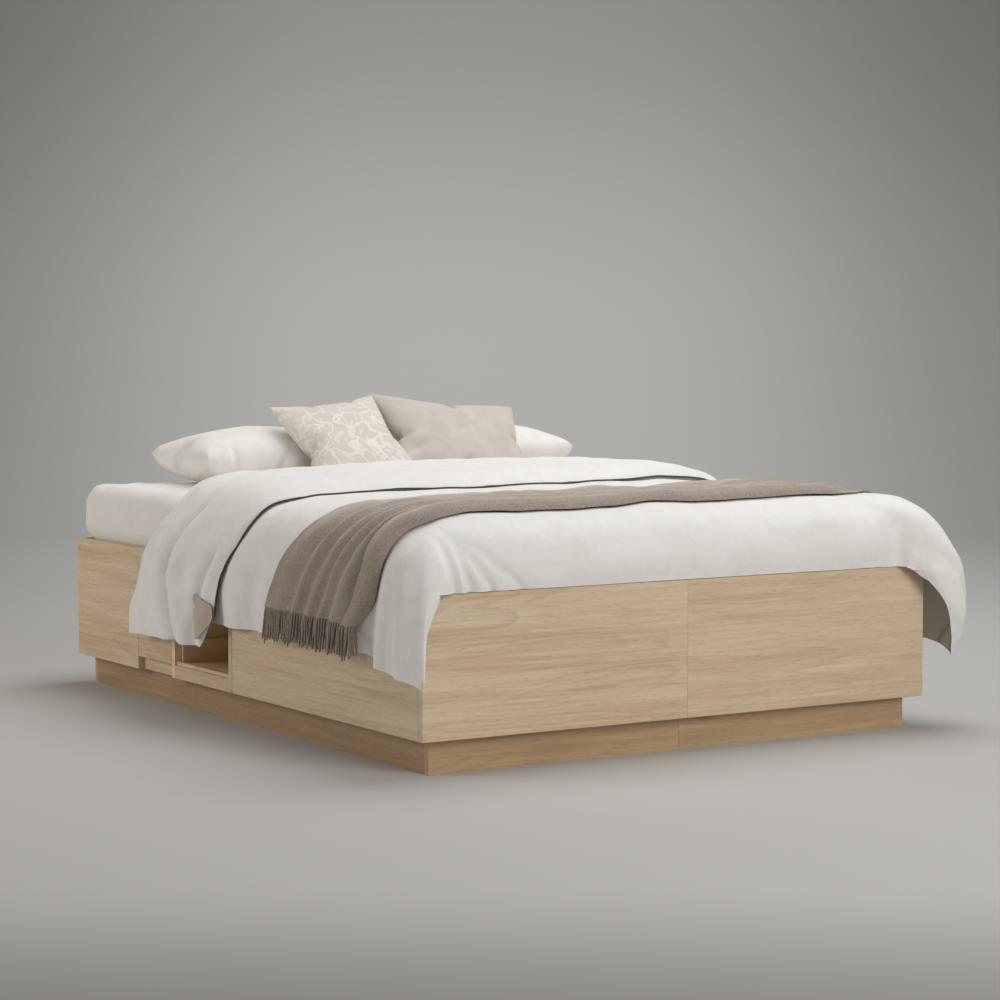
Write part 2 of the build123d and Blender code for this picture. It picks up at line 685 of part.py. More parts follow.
# Hanging ends of the throw, over the shoulder of the quilt and leaning towards the head
for side, side_name in sides:
    shoulder_top = mattress_top + quilt_edge + soft_gap
    fall = half_width + drop_clear + drop_thickness + throw_clear
    fall_top = single_top - drop_shoulder
    start = quilt_half + soft_gap
    middle_y = throw_centre + side * throw_slant
    first_fold = drop_split - 5 * fold_pitch
    lean = first_fold - throw_end_gap[side_name] - middle_y - throw_width_top / 2  # towards the head
    with BuildPart() as throw_end:
        with BuildSketch(Plane.XZ):
            with BuildLine():
                outer_turn = fall + throw_thickness - drop_shoulder * 0.22
                Line((side * start, shoulder_top), (side * start, shoulder_top + throw_thickness))
                ThreePointArc(
                    (side * start, shoulder_top + throw_thickness),
                    (side * outer_turn, shoulder_top - drop_shoulder * 0.14),
                    (side * (fall + throw_thickness), fall_top),
                )
                Polyline(
                    (side * (fall + throw_thickness), fall_top),
                    (side * (fall + throw_thickness), throw_hem),
                    (side * fall, throw_hem),
                    (side * fall, fall_top),
                )
                ThreePointArc(
                    (side * fall, fall_top),
                    (side * (fall - drop_shoulder * 0.22), shoulder_top - drop_shoulder * 0.25),
                    (side * start, shoulder_top),
                )
            make_face()
        extrude(amount=half_length)
        with BuildSketch(Plane.YZ.offset(side * start)):
            with BuildLine():
                Polyline(
                    (middle_y - throw_width_top / 2, shoulder_top + throw_thickness),
                    (middle_y + throw_width_top / 2, shoulder_top + throw_thickness),
                    (middle_y + throw_width_top / 2 + lean, throw_hem),
                    (middle_y - throw_width_top / 2 + lean * 0.75, throw_hem),
                    close=True,
                )
            make_face()
        extrude(amount=side * 2 * drop_shoulder, mode=Mode.INTERSECT)
    write(throw_end.part, f"throw_end_{side_name}")


# Pillows and cushions: crowned forms whose four sides are drawn in between the corners
def cushion(place, width, height, thickness):
    """Ruled loft of lens sections along the width, with shallow hollows cut into the two end seams."""
    hollow = draw_in * height / 2
    radius = (height**2 / 4 + hollow**2) / (2 * hollow)
    with BuildPart() as pad:
        for band in range(cushion_bands + 1):
            share = -cos(pi * band / cushion_bands)
            fullness = max(0.0, 1 - share**2) ** crown_power
            half_height = height / 2 * (1 - draw_in * (1 - share**2))
            half_thick = (cushion_seam + (thickness - cushion_seam) * fullness) / 2
            origin = place.origin + place.x_dir * (share * width / 2)
            with BuildSketch(Plane(origin=origin, x_dir=place.y_dir, z_dir=place.x_dir)):
                with BuildLine():
                    ThreePointArc((-half_height, 0), (0, half_thick), (half_height, 0))
                    ThreePointArc((half_height, 0), (0, -half_thick), (-half_height, 0))
                make_face()
        loft(ruled=True)
        with BuildSketch(place.offset(-thickness)):
            with Locations((width / 2 - hollow + radius, 0), (-width / 2 + hollow - radius, 0)):
                Circle(radius)
        extrude(amount=2 * thickness, mode=Mode.SUBTRACT)
    return pad.part


for side, side_name in sides:
    pillow_x = pillow_shift + side * (pillow_gap + pillow_length) / 2
    pillow_place = Plane((pillow_x, pillow_y, mattress_top + soft_gap + pillow_thickness / 2))
    pillow = cushion(pillow_place, pillow_length, pillow_width, pillow_thickness)
    write(pillow, f"pillow_{side_name}")

# Both cushions lean back on the pillows, the patterned one in front of the plain one
for name, spot, turn, size in (
    ("patterned", patterned_spot, patterned_turn, (patterned_width, patterned_height, patterned_thickness)),
    ("plain", plain_spot, plain_turn, (plain_width, plain_height, plain_thickness)),
):
    lean_spot = Pos(spot[0], pillow_y + spot[1], mattress_top + spot[2])
    lean_place = Plane(lean_spot * Rot(cushion_lean, 0, 0) * Rot(0, 0, turn))
    write(cushion(lean_place, *size), f"cushion_{name}")
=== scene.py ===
from math import cos, pi, radians, sin

import bpy
import numpy as np
from mathutils import Matrix, Vector
from mathutils.bvhtree import BVHTree


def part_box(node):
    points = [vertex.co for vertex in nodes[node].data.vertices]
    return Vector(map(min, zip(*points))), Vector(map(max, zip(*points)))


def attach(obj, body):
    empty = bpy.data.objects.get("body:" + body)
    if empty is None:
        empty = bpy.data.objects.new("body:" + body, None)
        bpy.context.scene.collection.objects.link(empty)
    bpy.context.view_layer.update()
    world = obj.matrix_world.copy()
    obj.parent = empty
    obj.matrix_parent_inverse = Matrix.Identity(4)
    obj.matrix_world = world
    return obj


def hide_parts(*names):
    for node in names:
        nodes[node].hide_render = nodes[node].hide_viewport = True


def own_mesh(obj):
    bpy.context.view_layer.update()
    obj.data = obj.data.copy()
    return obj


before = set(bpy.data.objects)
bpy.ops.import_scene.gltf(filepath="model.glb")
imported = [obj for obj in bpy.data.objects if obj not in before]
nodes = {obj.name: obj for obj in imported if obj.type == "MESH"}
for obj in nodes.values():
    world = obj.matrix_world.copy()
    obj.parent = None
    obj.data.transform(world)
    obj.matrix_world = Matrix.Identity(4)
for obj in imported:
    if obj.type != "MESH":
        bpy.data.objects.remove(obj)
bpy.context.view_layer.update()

sides = ((-1, "left"), (1, "right"))
bpy.context.scene.view_settings.view_transform = "Standard"

# PLINTH
# Boards on edge that carry the bed, set back so that it seems to float.
# Oak veneer on board in a darker lot, toned darker again as painted shade for the shadow under the bed's overhang, with
# the grain along each board, butted at the corners.


def linear(hex_colour):
    """Turn an sRGB hex value into the linear colour that a shader takes."""
    parts = [int(hex_colour[i : i + 2], 16) / 255 for i in (1, 3, 5)]
    return (*(c / 12.92 if c <= 0.04045 else ((c + 0.055) / 1.055) ** 2.4 for c in parts), 1.0)


def node(tree, kind, inputs=None, out=0, stops=None, **settings):
    """Add a shader node, give each input a value or a link from another node, and give back one output."""
    made = tree.nodes.new("ShaderNode" + kind)
    for name, value in settings.items():
        setattr(made, name, value)
    if stops:
        ramp = made.color_ramp.elements
        while len(ramp) < len(stops):
            ramp.new(1.0)
        for stop, (place, colour) in zip(ramp, stops):
            stop.position = place
            stop.color = colour
    for key, value in (inputs or {}).items():
        if isinstance(value, bpy.types.NodeSocket):
            tree.links.new(value, made.inputs[key])
        else:
            made.inputs[key].default_value = value
    return made.outputs[out] if made.outputs else None


def new_material(name):
    """An empty material, its node tree, and the place on the piece, in metres."""
    made = bpy.data.materials.new(name)
    made.use_nodes = True
    made.node_tree.nodes.clear()
    return made, made.node_tree, node(made.node_tree, "TexCoord", out="Object")


def dress(board, material):
    """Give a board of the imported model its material."""
    board.data.materials.clear()
    board.data.materials.append(material)


grain_turn = {"x": (0, 0, 0), "y": (0, 0, -pi / 2)}  # turns that bring the grain of a board along X


def natural_oak(name, grain, shift, tone_kept=(1.0, 1.0, 1.0)):
    """Flat-sawn oak veneer under matt lacquer: calm pale and deep streaks, faint growth rings, a few small
    knots that the rings flow round, and short dark pores. Tone kept is the share of each colour that the tone
    keeps: a darker stain, painted shade on the plinth and painted light in the niche."""
    made, tree, place = new_material(name)
    along = node(tree, "Mapping", {0: place, 1: shift, 2: grain_turn[grain]})

    def drawn_out(length, width, detail):
        """Noise in cells of this length along the grain and this width across it."""
        at = node(tree, "Mapping", {0: along, 3: (1 / length, 1 / width, 1 / width)})
        return node(tree, "TexNoise", {0: at, "Scale": 1.0, "Detail": detail, "Roughness": 0.55})

    def shade(hex_colour):
        return (*(c * kept for c, kept in zip(linear(hex_colour), tone_kept)), 1.0)

    def spread(value, low, high, most):
        """Nothing below low, most above high, smooth between."""
        inputs = {0: value, 1: low, 2: high, 3: 0.0, 4: most}
        return node(tree, "MapRange", inputs, interpolation_type="SMOOTHSTEP")

    # knots: about one in 700 mm along and 210 mm across the grain
    knot_at = node(tree, "Mapping", {0: along, 3: (1.45, 4.7, 4.7)})
    knot_from = node(tree, "TexVoronoi", {0: knot_at, "Scale": 1.0, "Randomness": 1.0})
    swirl = spread(knot_from, 0.42, 0.0, 0.22)
    heart = spread(knot_from, 0.075, 0.02, 0.55)

    # growth rings: level lines of a long soft field, 4 to 12 mm apart across the grain
    bent = node(tree, "Math", {0: drawn_out(1.2, 0.13, 2.0), 1: swirl}, operation="ADD")
    counted = node(tree, "Math", {0: bent, 1: 16.0}, operation="MULTIPLY")
    ring = node(tree, "Math", {0: counted}, operation="FRACT")
    late_wood = ((0.0, (0, 0, 0, 1)), (0.55, (0.25, 0.25, 0.25, 1)), (0.88, (1, 1, 1, 1)), (1.0, (0, 0, 0, 1)))
    late = node(tree, "ValToRGB", {0: ring}, stops=late_wood)
    shown = spread(drawn_out(0.7, 0.15, 1.0), 0.38, 0.66, 0.26)
    line = node(tree, "Math", {0: late, 1: shown}, operation="MULTIPLY")

    # streaks 40 mm and 8 mm wide; pores 30 mm long, which are finer in real oak and would not show
    both = node(tree, "Math", {0: drawn_out(0.9, 0.04, 2.0), 1: drawn_out(0.28, 0.008, 3.0)}, operation="ADD")
    streak = node(tree, "Math", {0: both, 1: 0.5}, operation="MULTIPLY")
    pore = drawn_out(0.03, 0.0026, 3.0)

    tones = ((0.34, shade("#cbb190")), (0.50, shade("#d9c2a2")), (0.66, shade("#e2cfb3")))
    tone = node(tree, "ValToRGB", {0: streak}, stops=tones)
    ringed = node(tree, "Mix", {0: line, 6: tone, 7: shade("#a68a68")}, 2, data_type="RGBA")
    pored = node(tree, "Mix", {0: spread(pore, 0.52, 0.76, 0.42), 6: ringed, 7: shade("#a08362")}, 2, data_type="RGBA")
    knotted = node(tree, "Mix", {0: heart, 6: pored, 7: shade("#7f6242")}, 2, data_type="RGBA")

    rough = node(tree, "MapRange", {0: pore, 1: 0.3, 2: 0.7, 3: 0.48, 4: 0.62})
    relief = node(tree, "Math", {0: line, 1: pore}, operation="ADD")
    bump = node(tree, "Bump", {"Height": relief, "Strength": 0.2, "Distance": 0.0005})
    surface = node(tree, "BsdfPrincipled", {"Base Color": knotted, "Roughness": rough, "Normal": bump, "IOR": 1.5})
    node(tree, "OutputMaterial", {0: surface})
    return made


def veneer(lot, name, grain, *cuts, tone_kept=(1.0, 1.0, 1.0)):
    """Dress a left and a right board, each from its own cut of the log, in metres along and across it."""
    for (_, side), (along, across) in zip(sides, cuts):
        board = f"{name}_{side}"
        dress(nodes[board], natural_oak(f"{lot}_{board}", grain, (along, 0.0, across), tone_kept))


short_stain_and_painted_shade, long_stain_and_painted_shade = (0.76, 0.67, 0.57), (0.60, 0.52, 0.43)  # the long boards are toned deeper still, as painted shade for the shadow under the side overhang
veneer("dark_and_shaded_oak", "plinth_foot", "x", (0.3, 0.13), (2.9, 0.41), tone_kept=short_stain_and_painted_shade)
veneer("dark_and_shaded_oak", "plinth_head", "x", (4.4, 0.57), (6.1, 0.72), tone_kept=short_stain_and_painted_shade)
veneer("dark_and_shaded_oak", "plinth", "y", (1.7, 0.33), (5.2, 0.91), tone_kept=long_stain_and_painted_shade)

# CARCASS
# Foot and head panels, end panels, rails over the drawers, dividers and niche lining.
# Oak-faced board with eased edges, so that each joint reads as a fine dark line.
veneer("natural_oak", "foot_panel", "x", (0.0, 0.0), (3.3, 0.25))
veneer("natural_oak", "head_panel", "x", (7.7, 0.40), (9.1, 0.65))
veneer("natural_oak", "end_panel", "y", (2.2, 0.75), (4.9, 0.15))
veneer("natural_oak", "side_rail", "y", (6.6, 0.55), (8.4, 0.35))
veneer("natural_oak", "lower_rails", "y", (10.2, 0.85), (11.3, 0.05))
veneer("natural_oak", "middle_divider", "x", (12.1, 0.2), (13.4, 0.3))
veneer("natural_oak", "drawer_divider", "x", (16.3, 0.7), (17.8, 0.8))
painted_light_stain = (1.30, 1.27, 1.20)  # painted light: the niche lining and its trays are toned paler, for light reaching into the niche
veneer("natural_oak", "niche_divider", "x", (14.2, 0.1), (15.1, 0.6), tone_kept=painted_light_stain)
veneer("natural_oak", "niche_lining", "y", (18.6, 0.9), (19.4, 0.45), tone_kept=painted_light_stain)
dress(nodes["base_boards"], natural_oak("natural_oak_base_boards", "y", (20.5, 0.0, 0.35)))

# BEAM, BLOCKS, LEDGERS AND SLATS
# The softwood inside the bed that carries the mattress: planed pine, left bare.


def planed_pine(name, grain):
    """Planed pine: pale yellow wood with strong straight rings and a dull surface."""
    made, tree, place = new_material(name)
    along = node(tree, "Mapping", {0: place, 2: grain_turn[grain]})
    # rings about 5 mm apart, drawn out along the plank
    ring_at = node(tree, "Mapping", {0: along, 3: (1.1, 26.0, 26.0)})
    ring = node(tree, "TexNoise", {0: ring_at, "Scale": 1.0, "Detail": 2.0, "Distortion": 0.4})
    counted = node(tree, "Math", {0: ring, 1: 11.0}, operation="MULTIPLY")
    late = node(tree, "Math", {0: counted}, operation="FRACT")
    tone = node(
        tree, "ValToRGB", {0: late},
        stops=(
            (0.0, linear("#e3c99a")), (0.6, linear("#dcbd88")), (0.92, linear("#bf955c")),
            (1.0, linear("#e3c99a"))
        )
    )
    bump = node(tree, "Bump", {"Height": late, "Strength": 0.15, "Distance": 0.0004})
    surface = node(tree, "BsdfPrincipled", {"Base Color": tone, "Roughness": 0.62, "Normal": bump})
    node(tree, "OutputMaterial", {0: surface})
    return made


pine_lengthwise = planed_pine("planed_pine_lengthwise", "y")
pine_crosswise = planed_pine("planed_pine_crosswise", "x")
for name in ("centre_beam", "ledgers"):
    dress(nodes[name], pine_lengthwise)
for name in ("slats", "corner_blocks"):
    dress(nodes[name], pine_crosswise)

# PLATES AND RUNNERS
# Zinc-plated steel: flat plates over the panel joints, and rolled channels and slides for the drawers.
zinc_steel, tree, place = new_material("zinc_plated_steel")
# plating shows as a faint bluish mottle about 15 mm across and a fine rolled grain
mottle = node(tree, "TexNoise", {0: place, "Scale": 65.0, "Detail": 3.0})
tone = node(tree, "ValToRGB", {0: mottle}, stops=((0.35, linear("#a9adb0")), (0.65, linear("#c4c7c9"))))
rough = node(tree, "MapRange", {0: mottle, 1: 0.3, 2: 0.7, 3: 0.28, 4: 0.44})
surface = node(tree, "BsdfPrincipled", {"Base Color": tone, "Metallic": 1.0, "Roughness": rough})
node(tree, "OutputMaterial", {0: surface})
for name in (
    "joint_plates", "runner_channels",
    *(f"{kind}_drawer_slides_{side}" for kind in ("wide", "narrow") for side in ("left", "right"))
):
    dress(nodes[name], zinc_steel)

# DRAWERS AND NICHE TRAYS
# Oak fronts like the carcass; drawer boxes of birch plywood with the bottoms let into grooves; trays of
# oak-faced board that are open to the front over a low lip.
veneer("natural_oak", "wide_drawer_front", "y", (21.2, 0.18), (22.7, 0.48))
veneer("natural_oak", "narrow_drawer_front", "y", (23.5, 0.68), (24.9, 0.28))
veneer("natural_oak", "niche_tray_front", "y", (25.6, 0.98), (26.8, 0.08))
# the tray boxes are toned paler too, as painted light in the niche
veneer("natural_oak", "niche_tray_box", "x", (27.7, 0.58), (28.9, 0.38), tone_kept=painted_light_stain)

birch_ply, tree, place = new_material("birch_plywood")
# rotary-cut birch: pale, with wide cloudy figure along the sheet and sanded smooth
cloud_at = node(tree, "Mapping", {0: place, 3: (6.0, 30.0, 30.0)})
cloud = node(tree, "TexNoise", {0: cloud_at, "Scale": 1.0, "Detail": 4.0, "Distortion": 0.8})
tone = node(tree, "ValToRGB", {0: cloud}, stops=((0.3, linear("#d3bd97")), (0.7, linear("#e6d6b7"))))
bump = node(tree, "Bump", {"Height": cloud, "Strength": 0.08, "Distance": 0.0005})
surface = node(tree, "BsdfPrincipled", {"Base Color": tone, "Roughness": 0.5, "Normal": bump})
node(tree, "OutputMaterial", {0: surface})
for side in ("left", "right"):
    for name in ("wide_drawer_box", "wide_drawer_bottom", "narrow_drawer_box"):
        dress(nodes[f"{name}_{side}"], birch_ply)

# MATTRESS
# A foam mattress in a fitted white cotton sheet: soft edges, bulging sides, and creases drawn
# from the corners, where the sheet's elastic pulls under.


def smooth_step(low, high, value):
    """0 below low, 1 above high, and a smooth rise between."""
    t = np.clip((np.asarray(value, float) - low) / (high - low), 0, 1)
    return t * t * (3 - 2 * t)


def make_piece(name, points, faces, material):
    """A smooth mesh object from points and faces."""
    mesh = bpy.data.meshes.new(name)
    mesh.from_pydata(np.asarray(points, float).tolist(), [], faces)
    mesh.validate()
    mesh.shade_smooth()
    piece = bpy.data.objects.new(name, mesh)
    bpy.context.scene.collection.objects.link(piece)
    mesh.materials.append(material)
    return piece


def unevenness(points, seed, longest, shortest, height, count=28):
    """Soft seeded unevenness of stuffed cloth, as a sum of waves in many directions."""
    draw = np.random.default_rng(seed)
    total = np.zeros(len(points))
    for _ in range(count):
        heading = draw.normal(size=3)
        heading /= np.linalg.norm(heading)
        wave = shortest * (longest / shortest) ** draw.random()
        total += np.sin(points @ heading * 2 * pi / wave + draw.random() * 2 * pi) * (wave / longest) ** 0.7
    return total * height / np.sqrt(count / 2)


def woven_cotton(name, colour, shade, weave=0.0011, crumple=0.5):
    """Washed cotton percale: matt white with a fine plain weave and a faint crumple that never irons out."""
    made, tree, place = new_material(name)
    # soft crumple 25 to 60 mm across; threads 0.4 mm apart would not show, so they are drawn at 1.1 mm
    soft = node(tree, "TexNoise", {0: place, "Scale": 22.0, "Detail": 5.0, "Roughness": 0.55, "Distortion": 0.6})
    thread = node(tree, "TexNoise", {0: place, "Scale": 1 / weave, "Detail": 1.0})
    # painted shade: the cloth is coloured darker in the hollows of the crumple
    tone = node(tree, "ValToRGB", {0: soft}, stops=((0.25, linear(shade)), (0.6, linear(colour))))
    crumpled = node(tree, "Bump", {"Height": soft, "Strength": crumple, "Distance": 0.004})
    woven = node(tree, "Bump", {"Height": thread, "Strength": 0.12, "Distance": 0.0006, "Normal": crumpled})
    surface = node(
        tree, "BsdfPrincipled",
        {
            "Base Color": tone, "Roughness": 0.85, "Normal": woven, "Sheen Weight": 0.15,
            "Sheen Roughness": 0.5, "Specular IOR Level": 0.25
        }
    )
    node(tree, "OutputMaterial", {0: surface})
    return made


fitted_sheet = woven_cotton("cotton_fitted_sheet", "#efece7", "#e9e6e0", crumple=0.35)
low, high = (np.array(corner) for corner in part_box("mattress"))
edge_round = np.array((0.036, 0.036, 0.075))
swell_up, bulge_side, bulge_head = 0.030, 0.028, 0.016  # how far it fills out where it is free of the quilt
crease_pitch, crease_depth, crease_reach = 0.085, 0.0028, 0.20  # of the creases at the corners
cells = (64, 84, 14)
faces_of_box, box_points, index = [], [], {}


def box_corner(i, j, k):
    """The number of a grid point on the skin of the mattress, made once."""
    key = (i, j, k)
    if key not in index:
        index[key] = len(box_points)
        box_points.append(low + (high - low) * np.array(key) / cells)
    return index[key]


for axis in range(3):
    first, second = (axis + 1) % 3, (axis + 2) % 3
    for end in (0, cells[axis]):
        for a, b in np.ndindex(cells[first], cells[second]):
            ring = []
            for step_a, step_b in ((0, 0), (1, 0), (1, 1), (0, 1)):
                key = [end] * 3
                key[first], key[second] = a + step_a, b + step_b
                ring.append(box_corner(*key))
            faces_of_box.append(ring if end else ring[::-1])
skin = np.array(box_points)
core = np.clip(skin, low + edge_round, high - edge_round)
outward = (skin - core) / edge_round
outward /= np.maximum(np.linalg.norm(outward, axis=1, keepdims=True), 1e-9)
skin = core + outward * edge_round
middle = (low + high) / 2
share = (skin - middle) / ((high - low) / 2)
above = smooth_step(0.30, 0.55, share[:, 2])
skin += outward * (unevenness(skin, 11, 0.5, 0.14, 0.0022) * above)[:, None]
skin[:, 2] += swell_up * smooth_step(-0.6, 1.0, share[:, 2]) * smooth_step(0.25, 0.50, skin[:, 1])
bulge = smooth_step(0.438, 0.480, skin[:, 2]) * smooth_step(0.0, 0.4, skin[:, 1])
skin[:, 0] += bulge_side * bulge * smooth_step(0.85, 1.0, np.abs(share[:, 0])) * np.sign(share[:, 0])
skin[:, 1] += bulge_head * bulge * smooth_step(0.85, 1.0, share[:, 1])
to_corner = np.hypot(*((1 - np.abs(share[:, k])) * (high[k] - low[k]) / 2 for k in range(2)))
waves = np.sin((skin[:, 2] * 0.9 + to_corner) * 2 * pi / crease_pitch)
drawn = np.exp(-((to_corner / crease_reach) ** 2)) * waves * crease_depth
skin += outward * (drawn * above)[:, None]
mattress = make_piece("mattress_in_fitted_sheet", skin, faces_of_box, fitted_sheet)
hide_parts("mattress")
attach(mattress, "bed_frame")

# QUILT
# A filled quilt in a white cotton cover, spread over the mattress, tucked behind the foot panel, and
# hanging down both long sides. Its two foot corners are left out of the tuck and hang as tails.
# The hanging parts are pieces of their own below the rim.
half_width, half_length, rim = 0.795, 1.055, 0.4492
inset = 0.24  # the soft shoulder begins this far in from the faces of the bed
quilt_head = 0.33
upper_rows, lower_rows = 44, 22
tail_thickness, pad_thickness = 0.015, 0.042
hem_roll = 0.016  # the cloth's thickness closes over this length at the hem
plain_hem = 0.27  # the lower profiles are drawn for a hem at this height
tail_free, tail_soft = -1.11, 0.0195  # the tail's place along the bed where it is held back, and how softly

# profiles as (out from the face of the bed, height): from the flat top down to the rim, then to the hem
left_upper = (
    (-0.24, 0.640), (-0.16, 0.636), (-0.09, 0.623), (-0.045, 0.602), (-0.012, 0.570), (0.010, 0.532),
    (0.021, 0.49), (0.026, rim)
)
left_lower = ((0.026, rim), (0.026, 0.39), (0.023, 0.33))
foot_upper = (
    (-0.24, 0.640), (-0.16, 0.635), (-0.10, 0.626), (-0.055, 0.607), (-0.020, 0.573), (0.001, 0.53),
    (0.007, 0.49), (-0.003, rim)
)
right_upper = (
    (-0.24, 0.640), (-0.16, 0.636), (-0.085, 0.628), (-0.030, 0.610), (0.012, 0.583), (0.038, 0.538),
    (0.054, 0.492), (0.064, rim)
)
right_lower = ((0.064, rim), (0.072, 0.39), (0.073, 0.33))
tail_upper = (
    (-0.24, 0.640), (-0.15, 0.637), (-0.05, 0.630), (0.033, 0.617), (0.101, 0.587), (0.151, 0.542),
    (0.181, 0.495), (0.197, rim)
)
tail_lower = ((0.197, rim), (0.213, 0.39), (0.211, 0.33))
round_share = (0.0, 0.08, 0.26, 0.46, 0.68, 0.86, 0.96, 1.0)  # how far a corner fills out to the square frame


def smooth_line(points, count):
    """Points at equal steps along the smooth line through the given ones."""
    knots = np.asarray(points, float)
    ring = np.vstack([2 * knots[0] - knots[1], knots, 2 * knots[-1] - knots[-2]])
    t = np.linspace(0, 1, 14)[:, None]
    fine = []
    for a, b, c, d in zip(ring, ring[1:], ring[2:], ring[3:]):
        fine.append(0.5 * (2 * b + (c - a) * t + (2 * a - 5 * b + 4 * c - d) * t**2 + (3 * b - a - 3 * c + d) * t**3))
    fine = np.vstack(fine)
    run = np.concatenate([[0], np.cumsum(np.linalg.norm(np.diff(fine, axis=0), axis=1))])
    at = np.linspace(0, run[-1], count)
    return np.stack([np.interp(at, run, fine[:, k]) for k in range(fine.shape[1])], 1)


def hem_of(side, at):
    """Height of the hanging hem: at is the place along the bed, or the angle round a foot corner."""
    kind, value = at
    if kind == "side":
        foot_end = 0.2725 if side < 0 else 0.250
        return float(np.interp(value, (-0.815, -0.77, -0.45, 0.0, 0.33), (foot_end, 0.279, 0.279, 0.277, 0.277)))
    if kind == "foot":
        return rim
    degrees, heights = (0, 18, 30, 36, 42, 48, 54, 60), (0.250, 0.226, 0.205, 0.196, 0.26, 0.345, 0.41, rim)
    if side < 0:
        degrees = (0, 10, 25, 37, 44, 46, 46.5, 47, 48.5, 50.5, 52.5)
        heights = (0.2725, 0.264, 0.243, 0.229, 0.2165, 0.222, 0.30, 0.35, 0.385, 0.42, rim)
    return float(np.interp(value, degrees, heights))


def profile_of(side, at):
    """The quilt's profile at one place round the bed, as upper and lower runs of (out, height)."""
    kind, value = at
    hem, drawn_in = hem_of(side, at), 0.006
    upper, lower = (left_upper, left_lower) if side < 0 else (right_upper, right_lower)
    upper, lower = np.array(upper), np.array(lower)
    if kind == "foot":
        return smooth_line(foot_upper, upper_rows), None
    if kind == "corner":
        turn = radians(value)
        square = inset / (cos(turn) ** 14 + sin(turn) ** 14) ** (1 / 14) - inset  # a corner with a soft turn
        to_foot = float(smooth_step(40, 72, value))
        tail = float(smooth_step(0, 30, value) * (1 - smooth_step(40, 62, value))) if side > 0 else 0.0
        upper = upper * (1 - to_foot) + np.array(foot_upper) * to_foot
        plain = upper.copy()
        plain[:, 0] += square * np.array(round_share)
        upper = plain * (1 - tail) + np.array(tail_upper) * tail
        out = lower[:, 0] * (1 - to_foot) + 0.012 * to_foot + square
        lower[:, 0] = out * (1 - tail) + np.array(tail_lower)[:, 0] * tail
        drawn_in += 0.030 * tail
        lower[0] = upper[-1]
    elif side > 0:
        swell = float(smooth_step(-0.45, -0.815, value))
        upper[:, 0] += 0.02 * swell * np.linspace(0, 1, len(upper))
        lower[:, 0] += 0.02 * swell
    run = smooth_line(upper, upper_rows)
    run[-1, 1] = rim
    if hem > rim - 0.004:
        return run, None
    falls = np.array([(out, rim - (rim - height) * (rim - hem) / (rim - plain_hem)) for out, height in lower])
    end = (lower[-1, 0] - drawn_in, hem)
    fall = smooth_line(np.vstack([falls, end]), lower_rows)
    return run, fall


# places round the bed: along one side from the head, round the foot corner, then half of the foot
side_places = [("side", y) for y in np.linspace(quilt_head, inset - half_length, 100)]
corner_places = [("corner", a) for a in (*np.linspace(2, 40, 20), *np.linspace(41, 54, 40), *np.linspace(55, 88, 34))]
foot_x = np.linspace(inset - half_width, half_width - inset, 140)


def plan_of(side, at):
    """A place's point on the plan's rounded outline, and the way out from it."""
    kind, value = at
    if kind == "side":
        return np.array((side * half_width, value)), np.array((side, 0.0))
    if kind == "foot":
        return np.array((value, -half_length)), np.array((0.0, -1.0))
    turn = radians(value)
    out = np.array((side * cos(turn), -sin(turn)))
    return np.array((side * (half_width - inset), inset - half_length)) + out * inset, out


def raised_right(x):
    """The quilt lies a little fuller towards its right side."""
    return 0.010 * smooth_step(-0.2, 0.55, x)


columns = [(-1, at) for at in side_places + corner_places]
columns += [(-1, ("foot", x)) for x in foot_x]
columns += [(1, at) for at in reversed(side_places + corner_places)]
upper_grid = np.zeros((len(columns), upper_rows, 3))
lower_runs = {}
for column, (side, at) in enumerate(columns):
    base, out = plan_of(side, at)
    run, fall = profile_of(side, at)
    upper_grid[column, :, :2] = base + run[:, :1] * out
    upper_grid[column, :, 2] = run[:, 1] + raised_right(base[0]) * np.linspace(1, 0, upper_rows) ** 0.6
    if fall is not None:
        lower_runs[column] = np.column_stack([base + fall[:, :1] * out, fall[:, 1]])

# top of the quilt inside the shoulders, joined to them point by point
side_count, corner_count, foot_count = len(side_places), len(corner_places), len(foot_x)
top_y = np.array([y for kind, y in side_places])
top_grid = np.zeros((side_count, foot_count, 3))
top_grid[:, :, 0] = foot_x
top_grid[:, :, 1] = top_y[:, None]
crown = 1 - (foot_x / foot_x[-1]) ** 2
end_fall = smooth_step(0.0, 0.5, top_y - top_y[-1])
top_grid[:, :, 2] = 0.640 + 0.010 * crown * end_fall[:, None] + raised_right(foot_x)

points = [upper_grid.reshape(-1, 3)]
column_start = [column * upper_rows for column in range(len(columns))]
lower_start = {}
count = len(columns) * upper_rows
for column, fall in lower_runs.items():
    lower_start[column] = count - 1  # row 0 of the fall is the last row of the upper run
    points.append(fall[1:])
    count += lower_rows - 1
top_start = count
points.append(top_grid.reshape(-1, 3))
points = np.vstack(points)


def upper_at(column, row):
    return column_start[column] + row


def lower_at(column, row):
    return column_start[column] + upper_rows - 1 if row == 0 else lower_start[column] + row


def quad(corner_at, column, row):
    """The face between two columns and two rows."""
    steps = ((0, 0), (0, 1), (1, 1), (1, 0))
    return [corner_at(column + along, row + down) for along, down in steps]


upper_faces, lower_faces = [], {-1: [], 1: []}
for column in range(len(columns) - 1):
    for row in range(upper_rows - 1):
        upper_faces.append(quad(upper_at, column, row))
    if column in lower_runs and column + 1 in lower_runs:
        for row in range(lower_rows - 1):
            lower_faces[columns[column][0]].append(quad(lower_at, column, row))
for j in range(side_count - 1):
    for i in range(foot_count - 1):
        a = top_start + j * foot_count + i
        upper_faces.append([a, a + foot_count, a + foot_count + 1, a + 1])

